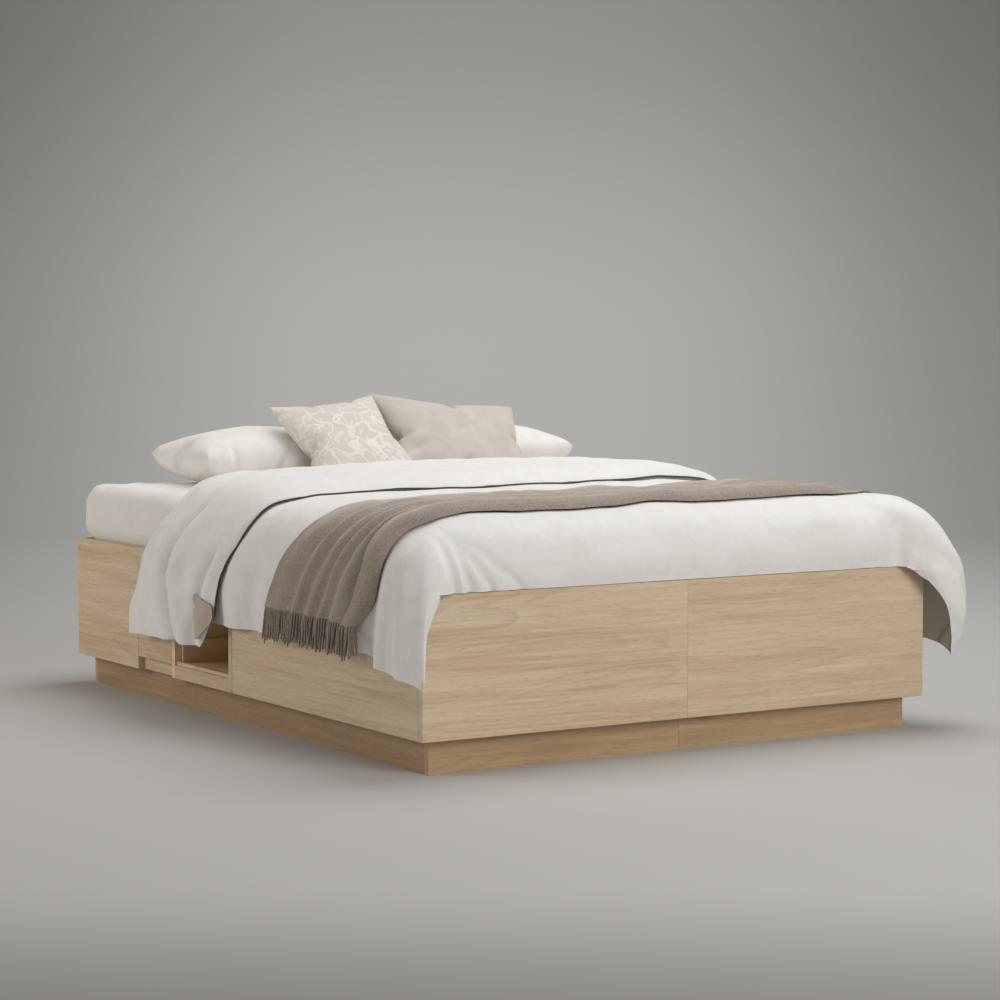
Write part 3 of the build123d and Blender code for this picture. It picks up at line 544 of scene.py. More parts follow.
# weld the inner ends of the shoulders to the edge of the top
weld = {}
for column, (side, at) in enumerate(columns):
    kind, value = at
    if kind == "side":
        j = column if side < 0 else len(columns) - 1 - column
    else:
        j = side_count - 1
    if kind == "foot":
        i = column - side_count - corner_count
    else:
        i = 0 if side < 0 else foot_count - 1
    weld[upper_at(column, 0)] = top_start + j * foot_count + i


def welded(faces):
    """Faces with the shoulders' inner points replaced by the top's, without faces that have closed up."""
    kept = []
    for face in faces:
        ring = []
        for corner in (weld.get(v, v) for v in face):
            if corner not in ring:
                ring.append(corner)
        if len(ring) > 2:
            kept.append(ring)
    return kept


upper_faces = welded(upper_faces)


def normals_of(points, faces):
    """Normals of the points, from the faces round each of them."""
    total = np.zeros_like(points)
    for size in (3, 4):
        rings = np.array([face for face in faces if len(face) == size], int).reshape(-1, size)
        if len(rings) == 0:
            continue
        a, b = points[rings[:, 2]] - points[rings[:, 0]], points[rings[:, size - 1]] - points[rings[:, 1]]
        facing = np.cross(a, b) if size == 4 else np.cross(points[rings[:, 1]] - points[rings[:, 0]], a)
        for k in range(size):
            np.add.at(total, rings[:, k], facing)
    return total / np.maximum(np.linalg.norm(total, axis=1, keepdims=True), 1e-12)


# soft folds on the shoulders and falls, each a ridge at a place along the bed that leans as it falls
all_faces = upper_faces + lower_faces[-1] + lower_faces[1]
facing = normals_of(points, all_faces)
x, y, z = points.T
fallen = smooth_step(0.60, 0.42, z)
lift = np.zeros(len(points))
left, right = x < -0.5, x > 0.5
for mask, start_y, lean, width, height in (
    (left, -0.990, 0.30, 0.045, 0.022),
    (left, -0.885, 0.26, 0.055, -0.018),
    (left, -0.760, 0.20, 0.070, 0.012),
    (left, -0.150, 0.28, 0.055, 0.012),
    (left, -0.260, 0.30, 0.045, -0.010),
    (right, -0.900, 0.25, 0.060, 0.016),
    (right, -0.740, 0.10, 0.070, -0.016),
    (right, -0.520, 0.05, 0.080, 0.018),
    (right, -0.300, 0.00, 0.070, -0.012),
    (right, -0.080, 0.05, 0.080, 0.014),
):
    ridge = np.exp(-(((y - start_y - lean * (0.60 - z)) / width) ** 2))
    lift += mask * ridge * height * fallen
# folds of the foot corners that run from the ends of the tuck down along the border of the tails:
# side, degrees round the corner at the rim, degrees for each metre down, width in degrees, height
around = np.degrees(np.arctan2(-(y + half_length - inset), np.abs(x) - (half_width - inset)))
at_corner = smooth_step(2, 12, around) * smooth_step(80, 66, around)
for mask, degrees_at_rim, slant, width, height in (
    (right, 54, 85, 2.6, 0.007),
    (right, 47, 88, 2.4, -0.008),
    (right, 40, 80, 3.0, 0.006),
    (left, 43, 10, 3.4, -0.007),
    (left, 36, 26, 3.0, 0.010),
    (left, 28, 40, 3.2, -0.009),
):
    ridge = np.exp(-(((around - degrees_at_rim + slant * (rim - z)) / width) ** 2))
    lift += mask * at_corner * ridge * height * smooth_step(0.53, 0.44, z)
# creases that run up from the ends of the tuck at the foot
for spot_x, heading, width, height in (
    (-0.700, -0.20, 0.012, -0.014),
    (-0.657, -0.30, 0.012, -0.012),
    (-0.680, -0.25, 0.009, 0.005),
    (-0.590, -0.75, 0.013, -0.010),
    (-0.625, -0.55, 0.010, 0.004),
    (-0.500, -1.25, 0.015, -0.008),
    (0.738, 0.40, 0.012, -0.009),
    (0.690, 0.20, 0.013, -0.009),
    (0.640, 0.10, 0.014, -0.007),
    (0.585, 0.05, 0.016, -0.005),
):
    up = z - rim
    near_foot = smooth_step(-0.88, -1.00, y)
    ridge = np.exp(-(((x - spot_x - heading * up) / (width + 0.05 * np.maximum(up, 0))) ** 2))
    lift += near_foot * ridge * height * smooth_step(0.185, 0.03, up) * (up > -0.02)
settled = smooth_step(0.0, 0.05, z - rim)  # the tuck and the line at the rim stay where they are
lift += unevenness(points, 5, 0.55, 0.16, 0.0040) * (0.35 + 0.65 * settled)
lift += unevenness(points, 6, 0.16, 0.06, 0.0011)
at_rim = np.abs(z - rim) < 1e-6
moved = points + facing * lift[:, None]
moved[at_rim, 2] = rim
past = np.maximum(tail_free - moved[:, 1], 0)
moved[:, 1] += past - tail_soft * np.tanh(past / tail_soft)  # the right tail stands out 75 mm from the foot at most
points = moved

# inner side of the cloth: the pad is thick on the mattress and thin where it hangs, and closes at the hem
facing = normals_of(points, all_faces)
thickness = tail_thickness + (pad_thickness - tail_thickness) * smooth_step(0.52, 0.62, points[:, 2])
taper = np.ones(len(points))
for column in lower_runs:
    run = [lower_at(column, row) for row in range(lower_rows)]
    left_over = np.cumsum(np.linalg.norm(np.diff(points[run][::-1], axis=0), axis=1))
    left_over = np.concatenate([[0], left_over])[::-1]
    taper[run] = np.sqrt(np.clip(1 - (1 - np.clip(left_over / hem_roll, 0.01, 1)) ** 2, 0, 1))
tucked = (points[:, 1] < -0.9) & (np.abs(points[:, 0]) < 0.74)
taper[tucked] *= smooth_step(-0.002, 0.02, points[tucked, 2] - rim)
inner_points = points - facing * (thickness * taper)[:, None]
inner_points[at_rim, 2] = rim

quilt_cotton = woven_cotton("white_cotton_quilt_cover", "#f1efeb", "#ebe8e3")


def closed_shell(name, points, inner_points, facing, faces, material):
    """A closed piece of cloth from its outer faces, with its inner side and edges, shaded as it was before it
    was parted from its neighbour."""
    used = sorted({v for face in faces for v in face})
    number = {v: i for i, v in enumerate(used)}
    outer = [[number[v] for v in face] for face in faces]
    size = len(used)
    inner = [[v + size for v in reversed(face)] for face in outer]
    seen = {edge: True for face in outer for edge in zip(face, face[1:] + face[:1])}
    rim_faces = [[b, a, a + size, b + size] for a, b in seen if (b, a) not in seen]
    piece = make_piece(name, np.vstack([points[used], inner_points[used]]), outer + inner + rim_faces, material)
    turned = np.vstack([facing[used], -facing[used]])
    piece.data.normals_split_custom_set_from_vertices(turned.tolist())
    return piece


quilt = closed_shell("quilt", points, inner_points, facing, upper_faces, quilt_cotton)
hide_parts("quilt")
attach(quilt, "bed_frame")
quilt_skin = BVHTree.FromPolygons(points.tolist(), all_faces)
for side, side_name in sides:
    fall = closed_shell(f"quilt_fall_{side_name}", points, inner_points, facing, lower_faces[side], quilt_cotton)
    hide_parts(f"quilt_drop_{side_name}")
    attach(fall, "bed_frame")
    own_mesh(fall)

# TURNED-BACK QUILT
# The head end of the same quilt, folded back towards the foot so that it lies double. Its free edge is
# sewn with dark piping, and both ends hang lower than the single quilt. At the left its corner is turned out,
# coloured taupe as painted shade of the quilt's underside.
band_cells, over_half, hang_rows = 64, 70, 40
band_half_thick, piping_radius, turned_corner_thick = 0.020, 0.0030, 0.002
band_upper = {
    "left": (
        (0.0, 0.673), (0.30, 0.668), (0.56, 0.659), (0.64, 0.654), (0.713, 0.641), (0.765, 0.617),
        (0.801, 0.580), (0.825, 0.537), (0.837, 0.492), (0.842, rim)
    ),
    "right": (
        (0.0, 0.673), (0.30, 0.671), (0.56, 0.662), (0.64, 0.657), (0.717, 0.644), (0.778, 0.620),
        (0.825, 0.584), (0.853, 0.538), (0.870, 0.493), (0.880, rim)
    ),
}
# places along the bed of the piped edge and of the fold, at each point of the profiles above
piped_edge = (-0.255, -0.245, -0.200, -0.182, -0.156, -0.141, -0.132, -0.115, -0.087, -0.053)
fold_edge = (0.37, 0.37, 0.37, 0.37, 0.345, 0.318, 0.315, 0.352, 0.395, 0.435)
# the hanging ends, by height: how far out they hang, and where their two edges are
hang_out = {
    "left": ((0.842, rim), (0.846, 0.38), (0.845, 0.30), (0.840, 0.20)),
    "right": ((0.880, rim), (0.890, 0.38), (0.890, 0.30), (0.884, 0.20)),
}
piped_hang = ((-0.053, rim), (-0.016, 0.404), (0.003, 0.3625), (0.010, 0.309), (0.014, 0.20))
fold_hang = ((0.435, rim), (0.492, 0.346), (0.543, 0.285), (0.553, 0.213), (0.554, 0.20))
band_hem = (
    (0, 0.03, 0.08, 0.11, 0.14, 0.30, 0.39, 0.45, 0.80, 1.0),
    (0.300, 0.284, 0.235, 0.214, 0.210, 0.214, 0.217, 0.214, 0.209, 0.2045)
)


def by_height(table, z):
    """Values at the heights z of a smooth line through a table of (value, height)."""
    line = smooth_line(table, 60)
    return np.interp(-z, -line[:, 1], line[:, 0])


def whole_path(left, right):
    """Join two half paths into rows from the left hem to the right hem."""
    return np.vstack([left[1][:0:-1], left[0][:0:-1], right[0], right[1][1:]])


band_shares = 0.5 - 0.5 * np.cos(np.linspace(0, pi, band_cells))
band_shares = 0.65 * band_shares + 0.35 * np.linspace(0, 1, band_cells)
middle_surface = []
for share in band_shares:
    z = np.linspace(rim, np.interp(share, *band_hem), hang_rows)
    halves = []
    for side, name in sides:
        out, height = np.array(band_upper[name]).T
        along = np.array(piped_edge) * (1 - share) + np.array(fold_edge) * share
        over = smooth_line(np.column_stack([side * out, along, height]), over_half)
        along = by_height(piped_hang, z) * (1 - share) + by_height(fold_hang, z) * share
        halves.append((over, np.column_stack([side * by_height(hang_out[name], z), along, z])))
    middle_surface.append(whole_path(*halves))
middle_surface = np.array(middle_surface)  # column across the band, row from left hem to right hem
band_rows = middle_surface.shape[1]
seam_left, seam_right = hang_rows - 1, band_rows - hang_rows


def grid_faces(columns, rows, first=0, last=None):
    """Outward faces of a grid numbered column by column, over the rows from first to last."""
    last = rows - 1 if last is None else last
    faces = []
    for c in range(columns - 1):
        for r in range(first, last):
            here, ahead = c * rows + r, (c + 1) * rows + r
            faces.append([here + 1, ahead + 1, ahead, here])
    return faces


def three_parts(columns, rows, hanging):
    """The part of a draped grid over the bed and its two ends below the rim: name, rows and faces."""
    left, right = hanging - 1, rows - hanging
    for name, first, last in (("over", left, right), ("left", 0, left), ("right", right, rows - 1)):
        yield name, first, last, grid_faces(columns, rows, first, last)


band_points = middle_surface.reshape(-1, 3)
band_faces = grid_faces(band_cells, band_rows)
facing = normals_of(band_points, band_faces)
share = np.repeat(band_shares, band_rows)
z = band_points[:, 2]
on_left = band_points[:, 0] < 0
falling = 0.012 * smooth_step(0.65, 0.55, z) + 0.014 * smooth_step(0.56, 0.42, z)


def ridge(centre, width):
    """A soft ridge along the hanging end at one share of its width."""
    return np.exp(-(((share - centre) / width) ** 2))


valley = np.interp(z, (0.21, 0.30, 0.40, 0.48, 0.56, 0.65), (0.39, 0.47, 0.60, 0.62, 0.60, 0.58))
left_folds = 0.35 - 1.5 * ridge(valley, 0.050) + 0.85 * ridge(valley - 0.13, 0.075) + 0.35 * ridge(valley + 0.13, 0.06)
left_folds -= 0.7 * ridge(0.13 + 0.25 * (0.45 - z), 0.045)
right_folds = 0.55 - 1.5 * ridge(0.20, 0.055) - 1.6 * ridge(0.55, 0.065) - 0.9 * ridge(0.80, 0.05)
lift = falling * np.where(on_left, left_folds, right_folds)
edge_down = smooth_step(0.13, 0.0, share) * (1 - 0.8 * smooth_step(0.35, 0.60, band_points[:, 0]))
lift -= 0.018 * edge_down  # the piped edge lies on the quilt
lift += 0.013 * np.sin(pi * share) * smooth_step(0.58, 0.64, z)  # and the middle lies full
nose = smooth_step(0.80, 1.0, share) * smooth_step(0.77, 0.66, np.abs(band_points[:, 0])) * smooth_step(0.60, 0.64, z)
lift -= 0.020 * nose  # at the fold the quilt turns under itself, down to the mattress
lift += unevenness(band_points, 21, 0.40, 0.12, 0.0032) * (0.4 + 0.6 * smooth_step(0.0, 0.05, np.abs(z - rim)))
lift += unevenness(band_points, 22, 0.12, 0.05, 0.0009)
at_rim = np.abs(z - rim) < 1e-6
band_points = band_points + facing * lift[:, None]
band_points[at_rim, 2] = rim
facing = normals_of(band_points, band_faces)
rounded = np.sqrt(np.clip(1 - np.abs(2 * share - 1) ** 9, 0, 1))
row_number = np.tile(np.arange(band_rows), band_cells)
from_hem = np.minimum(row_number, band_rows - 1 - row_number) / 3.0
rounded *= np.sqrt(np.clip(1 - (1 - np.clip(from_hem, 0, 1)) ** 2, 0, 1))
hanging_thin = 1 - 0.55 * smooth_step(0.50, 0.40, band_points[:, 2])
half_thick = np.maximum(band_half_thick * (1 + nose) * rounded * hanging_thin, 0.0012)
band_outer = band_points + facing * half_thick[:, None]
band_inner = band_points - facing * half_thick[:, None]
band_outer[at_rim, 2] = rim
band_inner[at_rim, 2] = rim

piping_cord = woven_cotton("dark_cotton_piping", "#4d4945", "#3f3b38", crumple=0.2)
# painted shade: taupe cotton for the turned-out corner, standing for the shaded underside of the white quilt
corner_painted_shade_cloth = woven_cotton("taupe_cotton_painted_shade", "#c6b9ac", "#b9ab9e", crumple=0.3)


def tube_along(line, radius, sides_of_tube=8):
    """Points and faces of a closed round cord along a line of points."""
    line = np.asarray(line, float)
    ahead = np.gradient(line, axis=0)
    ahead /= np.linalg.norm(ahead, axis=1, keepdims=True)
    level = np.cross(ahead, (0.31, 0.95, 0.07))
    level /= np.linalg.norm(level, axis=1, keepdims=True)
    upright = np.cross(ahead, level)
    turns = np.arange(sides_of_tube) * 2 * pi / sides_of_tube
    reach = np.broadcast_to(radius, len(line))
    rings = line[:, None] + reach[:, None, None] * (
        np.cos(turns)[None, :, None] * level[:, None] + np.sin(turns)[None, :, None] * upright[:, None]
    )
    faces = []
    for i in range(len(line) - 1):
        here, ahead_of = i * sides_of_tube, (i + 1) * sides_of_tube
        for k in range(sides_of_tube):
            n = (k + 1) % sides_of_tube
            faces.append([here + k, here + n, ahead_of + n, ahead_of + k])
    faces.append(list(range(sides_of_tube))[::-1])
    faces.append([(len(line) - 1) * sides_of_tube + k for k in range(sides_of_tube)])
    return rings.reshape(-1, 3), faces


piping_line = band_points[:band_rows] + np.array((0.0, -0.002, 0.0))
for spot in piping_line[seam_left : seam_right + 1]:
    under = quilt_skin.ray_cast(Vector((spot[0], spot[1], 1.0)), Vector((0, 0, -1)))[0]
    if under is not None and spot[2] > rim + 0.12:
        spot[2] = max(spot[2], under.z + 0.002)
for name, first, last, chosen in three_parts(band_cells, band_rows, hang_rows):
    piece_name = "quilt_turned_back" if name == "over" else f"turned_back_fall_{name}"
    piece = closed_shell(piece_name, band_outer, band_inner, facing, chosen, quilt_cotton)
    cord_points, cord_faces = tube_along(piping_line[first : last + 1], piping_radius)
    cord = make_piece(f"piping_{name}", cord_points, cord_faces, piping_cord)
    for soft in (piece, cord):
        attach(soft, "bed_frame")
        if name == "over":
            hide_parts("quilt")
        else:
            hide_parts(f"quilt_drop_{name}")
            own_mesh(soft)

# the corner of the quilt that is turned out at the left, laid on the hanging end and coloured taupe as painted shade of
# the quilt's underside: place along and height
flap_corners = np.array([(0.086, 0.364), (0.010, 0.3345), (0.008, 0.2908), (0.072, 0.2260), (0.088, 0.2917)])
outline = np.vstack(
    [
        a + (b - a) * np.linspace(0, 1, 9)[:-1, None]
        for a, b in zip(flap_corners, np.roll(flap_corners, -1, axis=0))
    ]
)
for _ in range(3):
    outline = (np.roll(outline, 1, axis=0) + 2 * outline + np.roll(outline, -1, axis=0)) / 4
flap_middle = flap_corners.mean(0)
flap_plan = np.vstack(
    [flap_middle] + [flap_middle + (outline - flap_middle) * reach for reach in (0.25, 0.5, 0.75, 0.92, 1.0)]
)
band_skin = BVHTree.FromPolygons(band_outer.tolist(), band_faces)
flap_points = np.array(
    [
        (band_skin.find_nearest(Vector((-0.87, along, height)))[0].x, along, height)
        for along, height in flap_plan
    ]
)
stand_off = 0.002 + 0.007 * smooth_step(0.0, 0.09, flap_plan[:, 0]) + unevenness(flap_points, 23, 0.09, 0.035, 0.0012)
flap_points[:, 0] -= stand_off
ring = len(outline)
flap_faces = [[1 + (k + 1) % ring, 1 + k, 0] for k in range(ring)]
for loop in range(4):
    first = 1 + loop * ring
    for k in range(ring):
        ahead = (k + 1) % ring
        flap_faces.append([first + ahead, first + ring + ahead, first + ring + k, first + k])
facing = normals_of(flap_points, flap_faces)
flap = closed_shell(
    "turned_corner_left", flap_points, flap_points - facing * turned_corner_thick, facing, flap_faces, corner_painted_shade_cloth
)
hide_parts("quilt_drop_left")
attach(flap, "bed_frame")
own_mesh(flap)

# THROW
# A woven wool throw laid across the foot half of the quilt, a little askew. It lies in long soft pleats, its
# foot edge is turned over into a narrow strip, and both ends hang down in a fringe of twisted strands.
throw_half, throw_hang = 74, 18
wool_thick, wool_gap = 0.0055, 0.006  # of the cloth, and from its outer side to the quilt
pleat_high, strip_high, lip_over = 0.0145, 0.024, 0.015
# profile from the middle of the bed out over the shoulder and down to the hem, and the places along the bed of
# its foot and head edges at each of those points
throw_profile = (
    (0.0, 0.655), (0.30, 0.653), (0.56, 0.645), (0.64, 0.640), (0.705, 0.628), (0.75, 0.607), (0.785, 0.575),
    (0.808, 0.535), (0.820, 0.49), (0.827, rim), (0.830, 0.40), (0.826, 0.354)
)
throw_foot = {
    "left": (-0.915, -0.925, -0.932, -0.942, -0.944, -0.924, -0.911, -0.901, -0.884, -0.863, -0.836, -0.795),
    "right": (-0.915, -0.925, -0.912, -0.905, -0.894, -0.872, -0.843, -0.814, -0.794, -0.781, -0.773, -0.768),
}
throw_head = {
    "left": (-0.475, -0.465, -0.472, -0.475, -0.480, -0.480, -0.450, -0.408, -0.370, -0.338, -0.306, -0.270),
    "right": (-0.475, -0.470, -0.445, -0.435, -0.423, -0.404, -0.378, -0.348, -0.320, -0.296, -0.276, -0.260),
}
throw_shares = np.unique(
    np.concatenate([np.linspace(0, 0.03, 6), np.linspace(0.03, 1, 104), np.linspace(0.095, 0.215, 34)])
)
throw_cells = len(throw_shares)
throw_rows_all = []
for share in throw_shares:
    halves = []
    for side, name in sides:
        out, height = np.array(throw_profile).T
        along = np.array(throw_foot[name]) * (1 - share) + np.array(throw_head[name]) * share
        if side > 0:  # the quilt hangs wider on the right, and the throw is laid on from outside it
            out = out + 0.06 * smooth_step(0.64, 0.52, height)
        line = np.column_stack([side * out, along, height])
        over, down = smooth_line(line[:10], throw_half), smooth_line(line[9:], throw_hang)
        halves.append((over, down))
    throw_rows_all.append(whole_path(*halves))
guess = np.array(throw_rows_all)
throw_rows = guess.shape[1]
laid = np.zeros_like(guess)
upward = np.zeros_like(guess)
for c in range(throw_cells):
    for r in range(throw_rows):
        spot, turned, _, _ = quilt_skin.find_nearest(Vector(guess[c, r]))
        laid[c, r], upward[c, r] = spot, turned


def mean_of_neighbours(grid):
    """For each point of a grid, the mean of the four next to it."""
    wide = np.pad(grid, ((1, 1), (1, 1), (0, 0)), mode="edge")
    return (wide[:-2, 1:-1] + wide[2:, 1:-1] + wide[1:-1, :-2] + wide[1:-1, 2:]) / 4


for _ in range(6):  # the cloth spans small hollows of the quilt
    out = np.sum((mean_of_neighbours(laid) - laid) * upward, axis=2, keepdims=True)
    laid[1:-1, 1:-1] += (upward * np.maximum(out, 0))[1:-1, 1:-1]
on_right = smooth_step(0.70, 0.76, laid[:, :, 0])[:, :, None]
shift = laid - guess
for _ in range(24):  # where the right end leaves the quilt's tail it evens out, as a heavy cloth does
    for field in (shift, upward):
        field += on_right * (mean_of_neighbours(field) - field)
laid = guess + shift
for c, r in np.argwhere(on_right[:, :, 0] > 0):  # and it stays on the outside of the quilt
    spot, turned, _, _ = quilt_skin.find_nearest(Vector(laid[c, r]))
    laid[c, r] -= min((Vector(laid[c, r]) - spot).dot(turned), 0) * np.array(turned)
upward /= np.linalg.norm(upward, axis=2, keepdims=True)
row_share = np.linspace(-1, 1, throw_rows)[None, :]
across_throw = throw_shares[:, None]
pleat_edges = (0.178, 0.295, 0.44, 0.585, 0.74, 1.0)
strip = np.interp(laid[0, :, 2], (0.36, 0.45, 0.55, 0.62), (0.105, 0.125, 0.150, 0.170))[None, :]
beyond = 0.295 - (0.295 - across_throw) * (0.295 - 0.178) / (0.287 - strip)
wandering = np.where(across_throw < 0.295, beyond, across_throw) + 0.010 * np.sin(row_share * 2.6 + across_throw * 5)
phase = np.interp(wandering, pleat_edges, np.arange(6))
pleat_height = np.interp(phase, np.arange(6) + 0.5, (0.9, 1.0, 0.75, 1.0, 0.45, 0.4))
pleat_height = pleat_height * (0.4 + 0.6 * smooth_step(0.38, 0.60, np.abs(row_share)))
pleats = pleat_high * pleat_height * np.sin(pi * phase) ** 2 * smooth_step(0.016, 0.040, across_throw - strip)
# the turned-over strip ends short of the right shoulder
turned_over = np.clip(1 - (2 * across_throw / strip - 1) ** 2, 0, 1) * smooth_step(0.63, 0.60, laid[:, :, 0])
pleats += strip_high * np.sqrt(turned_over)
laid += upward * (wool_gap + pleats)[:, :, None]
lip = np.exp(-(((across_throw / strip - 0.88) / 0.09) ** 2)) * smooth_step(0.63, 0.60, laid[:, :, 0])
laid[:, :, 1] += lip_over * lip  # the free edge of the strip stands over the first pleat
throw_seam_left, throw_seam_right = throw_hang - 1, throw_rows - throw_hang
throw_points = laid.reshape(-1, 3)
throw_faces = grid_faces(throw_cells, throw_rows)
facing = normals_of(throw_points, throw_faces)
throw_points += facing * unevenness(throw_points, 31, 0.16, 0.05, 0.0012)[:, None]
throw_grid = throw_points.reshape(throw_cells, throw_rows, 3)
for seam in (throw_seam_left, throw_seam_right):  # rows near the rim follow the seam, so that it makes no ridge
    near_seam = np.exp(-(((np.arange(throw_rows) - seam) / 5) ** 2))
    throw_grid[:, :, 2] += (rim - throw_grid[:, seam, 2])[:, None] * near_seam
seam_rows = np.zeros((throw_cells, throw_rows), bool)
seam_rows[:, [throw_seam_left, throw_seam_right]] = True
throw_points[seam_rows.reshape(-1), 2] = rim
facing = normals_of(throw_points, throw_faces)
throw_inner = throw_points - facing * wool_thick
throw_inner[seam_rows.reshape(-1), 2] = rim


def heather_wool(name, colour, fleck, dark):
    """Brushed heather wool: taupe and paler fibres carded together, a twill that runs aslant, and a soft
    nap that catches light at the edges."""
    made, tree, place = new_material(name)
    # tufts of fibre about 4 mm, twill lines about 14 mm apart; real twill is finer and would not show
    tuft = node(tree, "TexNoise", {0: place, "Scale": 260.0, "Detail": 4.0, "Roughness": 0.7})
    drift = node(tree, "TexNoise", {0: place, "Scale": 9.0, "Detail": 3.0})
    slant = node(tree, "Mapping", {0: place, 2: (0.0, 0.0, 0.6)})
    twill = node(
        tree, "TexWave", {0: slant, "Scale": 32.0, "Distortion": 2.5, "Detail": 2.0, "Detail Scale": 4.0},
        out="Fac", wave_type="BANDS", bands_direction="DIAGONAL"
    )
    carded = node(
        tree, "ValToRGB", {0: tuft}, stops=((0.30, linear(dark)), (0.50, linear(colour)), (0.72, linear(fleck)))
    )
    worn = node(tree, "MapRange", {0: drift, 1: 0.3, 2: 0.7, 3: 0.0, 4: 0.22})
    tone = node(tree, "Mix", {0: worn, 6: carded, 7: linear(fleck)}, 2, data_type="RGBA")
    ribs = node(tree, "Math", {0: twill, 1: 0.35}, operation="MULTIPLY")
    nap = node(tree, "Math", {0: tuft, 1: ribs}, operation="ADD")
    bump = node(tree, "Bump", {"Height": nap, "Strength": 0.45, "Distance": 0.0016})
    surface = node(
        tree, "BsdfPrincipled",
        {
            "Base Color": tone, "Roughness": 0.95, "Normal": bump, "Sheen Weight": 0.8, "Sheen Roughness": 0.4,
            "Sheen Tint": linear("#efe6dc"), "Specular IOR Level": 0.15
        }
    )
    node(tree, "OutputMaterial", {0: surface})
    return made


throw_wool = heather_wool("taupe_heather_wool", "#a2948a", "#bcb0a5", "#85786f")
fringe_wool = heather_wool("taupe_wool_fringe", "#94867b", "#b3a699", "#685c53")
draw = np.random.default_rng(41)
for name, _, _, chosen in three_parts(throw_cells, throw_rows, throw_hang):
    piece_name = "throw" if name == "over" else f"throw_end_{name}"
    piece = closed_shell(piece_name, throw_points, throw_inner, facing, chosen, throw_wool)
    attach(piece, "bed_frame")
    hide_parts(piece_name)
    if name == "over":
        continue
    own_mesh(piece)
    hem_row = 0 if name == "left" else throw_rows - 1
    hem_line = (throw_points[hem_row::throw_rows] + throw_inner[hem_row::throw_rows]) / 2
    fringe_points, fringe_faces = [], []
    strands, strand_radius, strand_steps = 66, 0.0029, 12
    side_way = -1 if name == "left" else 1
    for layer, out, reach_of_layer in ((0, 0.0045, 0.085), (1, 0.0, 0.080)):
        for k in range(strands):
            at = (k + 0.3 + 0.5 * layer) / strands
            start = np.array([np.interp(at, throw_shares, hem_line[:, axis]) for axis in range(3)])
            reach = reach_of_layer + draw.normal() * 0.005
            sway = draw.normal(size=2) * 0.005
            line = []
            for step in np.linspace(0, 1, strand_steps):
                curl = sin(step * 5.0 + k) * 0.0022 * step
                out_now = side_way * (out * min(1, 4 * step) + abs(sway[0]) * step * (1 - layer))
                line.append(start + np.array((out_now, sway[1] * step**1.5 + curl, 0.004 - reach * step)))
            # a loosely twisted strand swells and narrows along its length
            twist = 1 + 0.16 * np.sin(np.linspace(0, 9 * pi, strand_steps) + k)
            radius = strand_radius * twist * np.array((*[1.0] * 10, 0.85, 0.5))
            strand_points, strand_faces = tube_along(line, radius, 7)
            offset = sum(len(p) for p in fringe_points)
            fringe_points.append(strand_points)
            fringe_faces += [[v + offset for v in face] for face in strand_faces]
    fringe = make_piece(f"throw_fringe_{name}", np.vstack(fringe_points), fringe_faces, fringe_wool)
    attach(fringe, "bed_frame")
    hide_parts(piece_name)
    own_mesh(fringe)

# PILLOWS
# Two bed pillows in white cotton cases, each two panels sewn round the edge and filled, lying on the
# mattress at the head.


def stuffed_cover(name, width, height, thickness, cell, pressure, steps, material):
    """Two flat panels sewn round the edge and blown up by their filling, then brought to the pillow's
    own size. The puckers along the seams come from the simulation."""
    columns, rows = int(round(width / cell)), int(round(height / cell))
    xs, ys = np.linspace(-width / 2, width / 2, columns + 1), np.linspace(-height / 2, height / 2, rows + 1)
    front = np.array([(x, y, 0.0) for y in ys for x in xs])
    border = np.array([i in (0, columns) or j in (0, rows) for j in range(rows + 1) for i in range(columns + 1)])
    plump = np.array([(1 - (2 * x / width) ** 2) * (1 - (2 * y / height) ** 2) for y in ys for x in xs])
    front[:, 2] = 0.35 * thickness * np.clip(plump, 0, 1) ** 0.5
    back_number = np.where(border, np.arange(len(front)), 0)
    inside = np.flatnonzero(~border)
    back_number[inside] = len(front) + np.arange(len(inside))
    cover = np.vstack([front, front[inside] * (1, 1, -1)])
    panel = [face[-1:] + face[:-1] for face in grid_faces(rows + 1, columns + 1)]
    faces = panel + [[int(back_number[v]) for v in reversed(face)] for face in panel]
    piece = make_piece(name, cover, faces, material)
    filling = piece.modifiers.new("filling", "CLOTH")
    cloth = filling.settings
    cloth.quality = 6
    cloth.mass = 0.15
    cloth.tension_stiffness = 25
    cloth.compression_stiffness = 25
    cloth.shear_stiffness = 8
    cloth.bending_stiffness = 0.05
    cloth.air_damping = 2.0
    cloth.use_pressure = True
    cloth.uniform_pressure_force = pressure
    cloth.effector_weights.gravity = 0.0
    filling.collision_settings.use_collision = False
    filling.collision_settings.use_self_collision = False
    scene = bpy.context.scene
    filling.point_cache.frame_start = 1
    filling.point_cache.frame_end = steps
    for step in range(1, steps + 1):
        scene.frame_set(step)
    shape = piece.evaluated_get(bpy.context.evaluated_depsgraph_get()).to_mesh()
    cover = np.array([v.co for v in shape.vertices])
    piece.modifiers.clear()
    scene.frame_set(1)
    size = cover.max(0) - cover.min(0)
    cover = (cover - (cover.max(0) + cover.min(0)) / 2) * (np.array((width * 0.97, height * 0.97, thickness)) / size)
    return piece, cover


def put_cover(piece, cover):
    """Give a stuffed piece its final points and one level of smoothing."""
    piece.data.vertices.foreach_set("co", np.asarray(cover, np.float32).reshape(-1))
    piece.data.update()
    soften = piece.modifiers.new("soften", "SUBSURF")
    soften.levels = soften.render_levels = 1


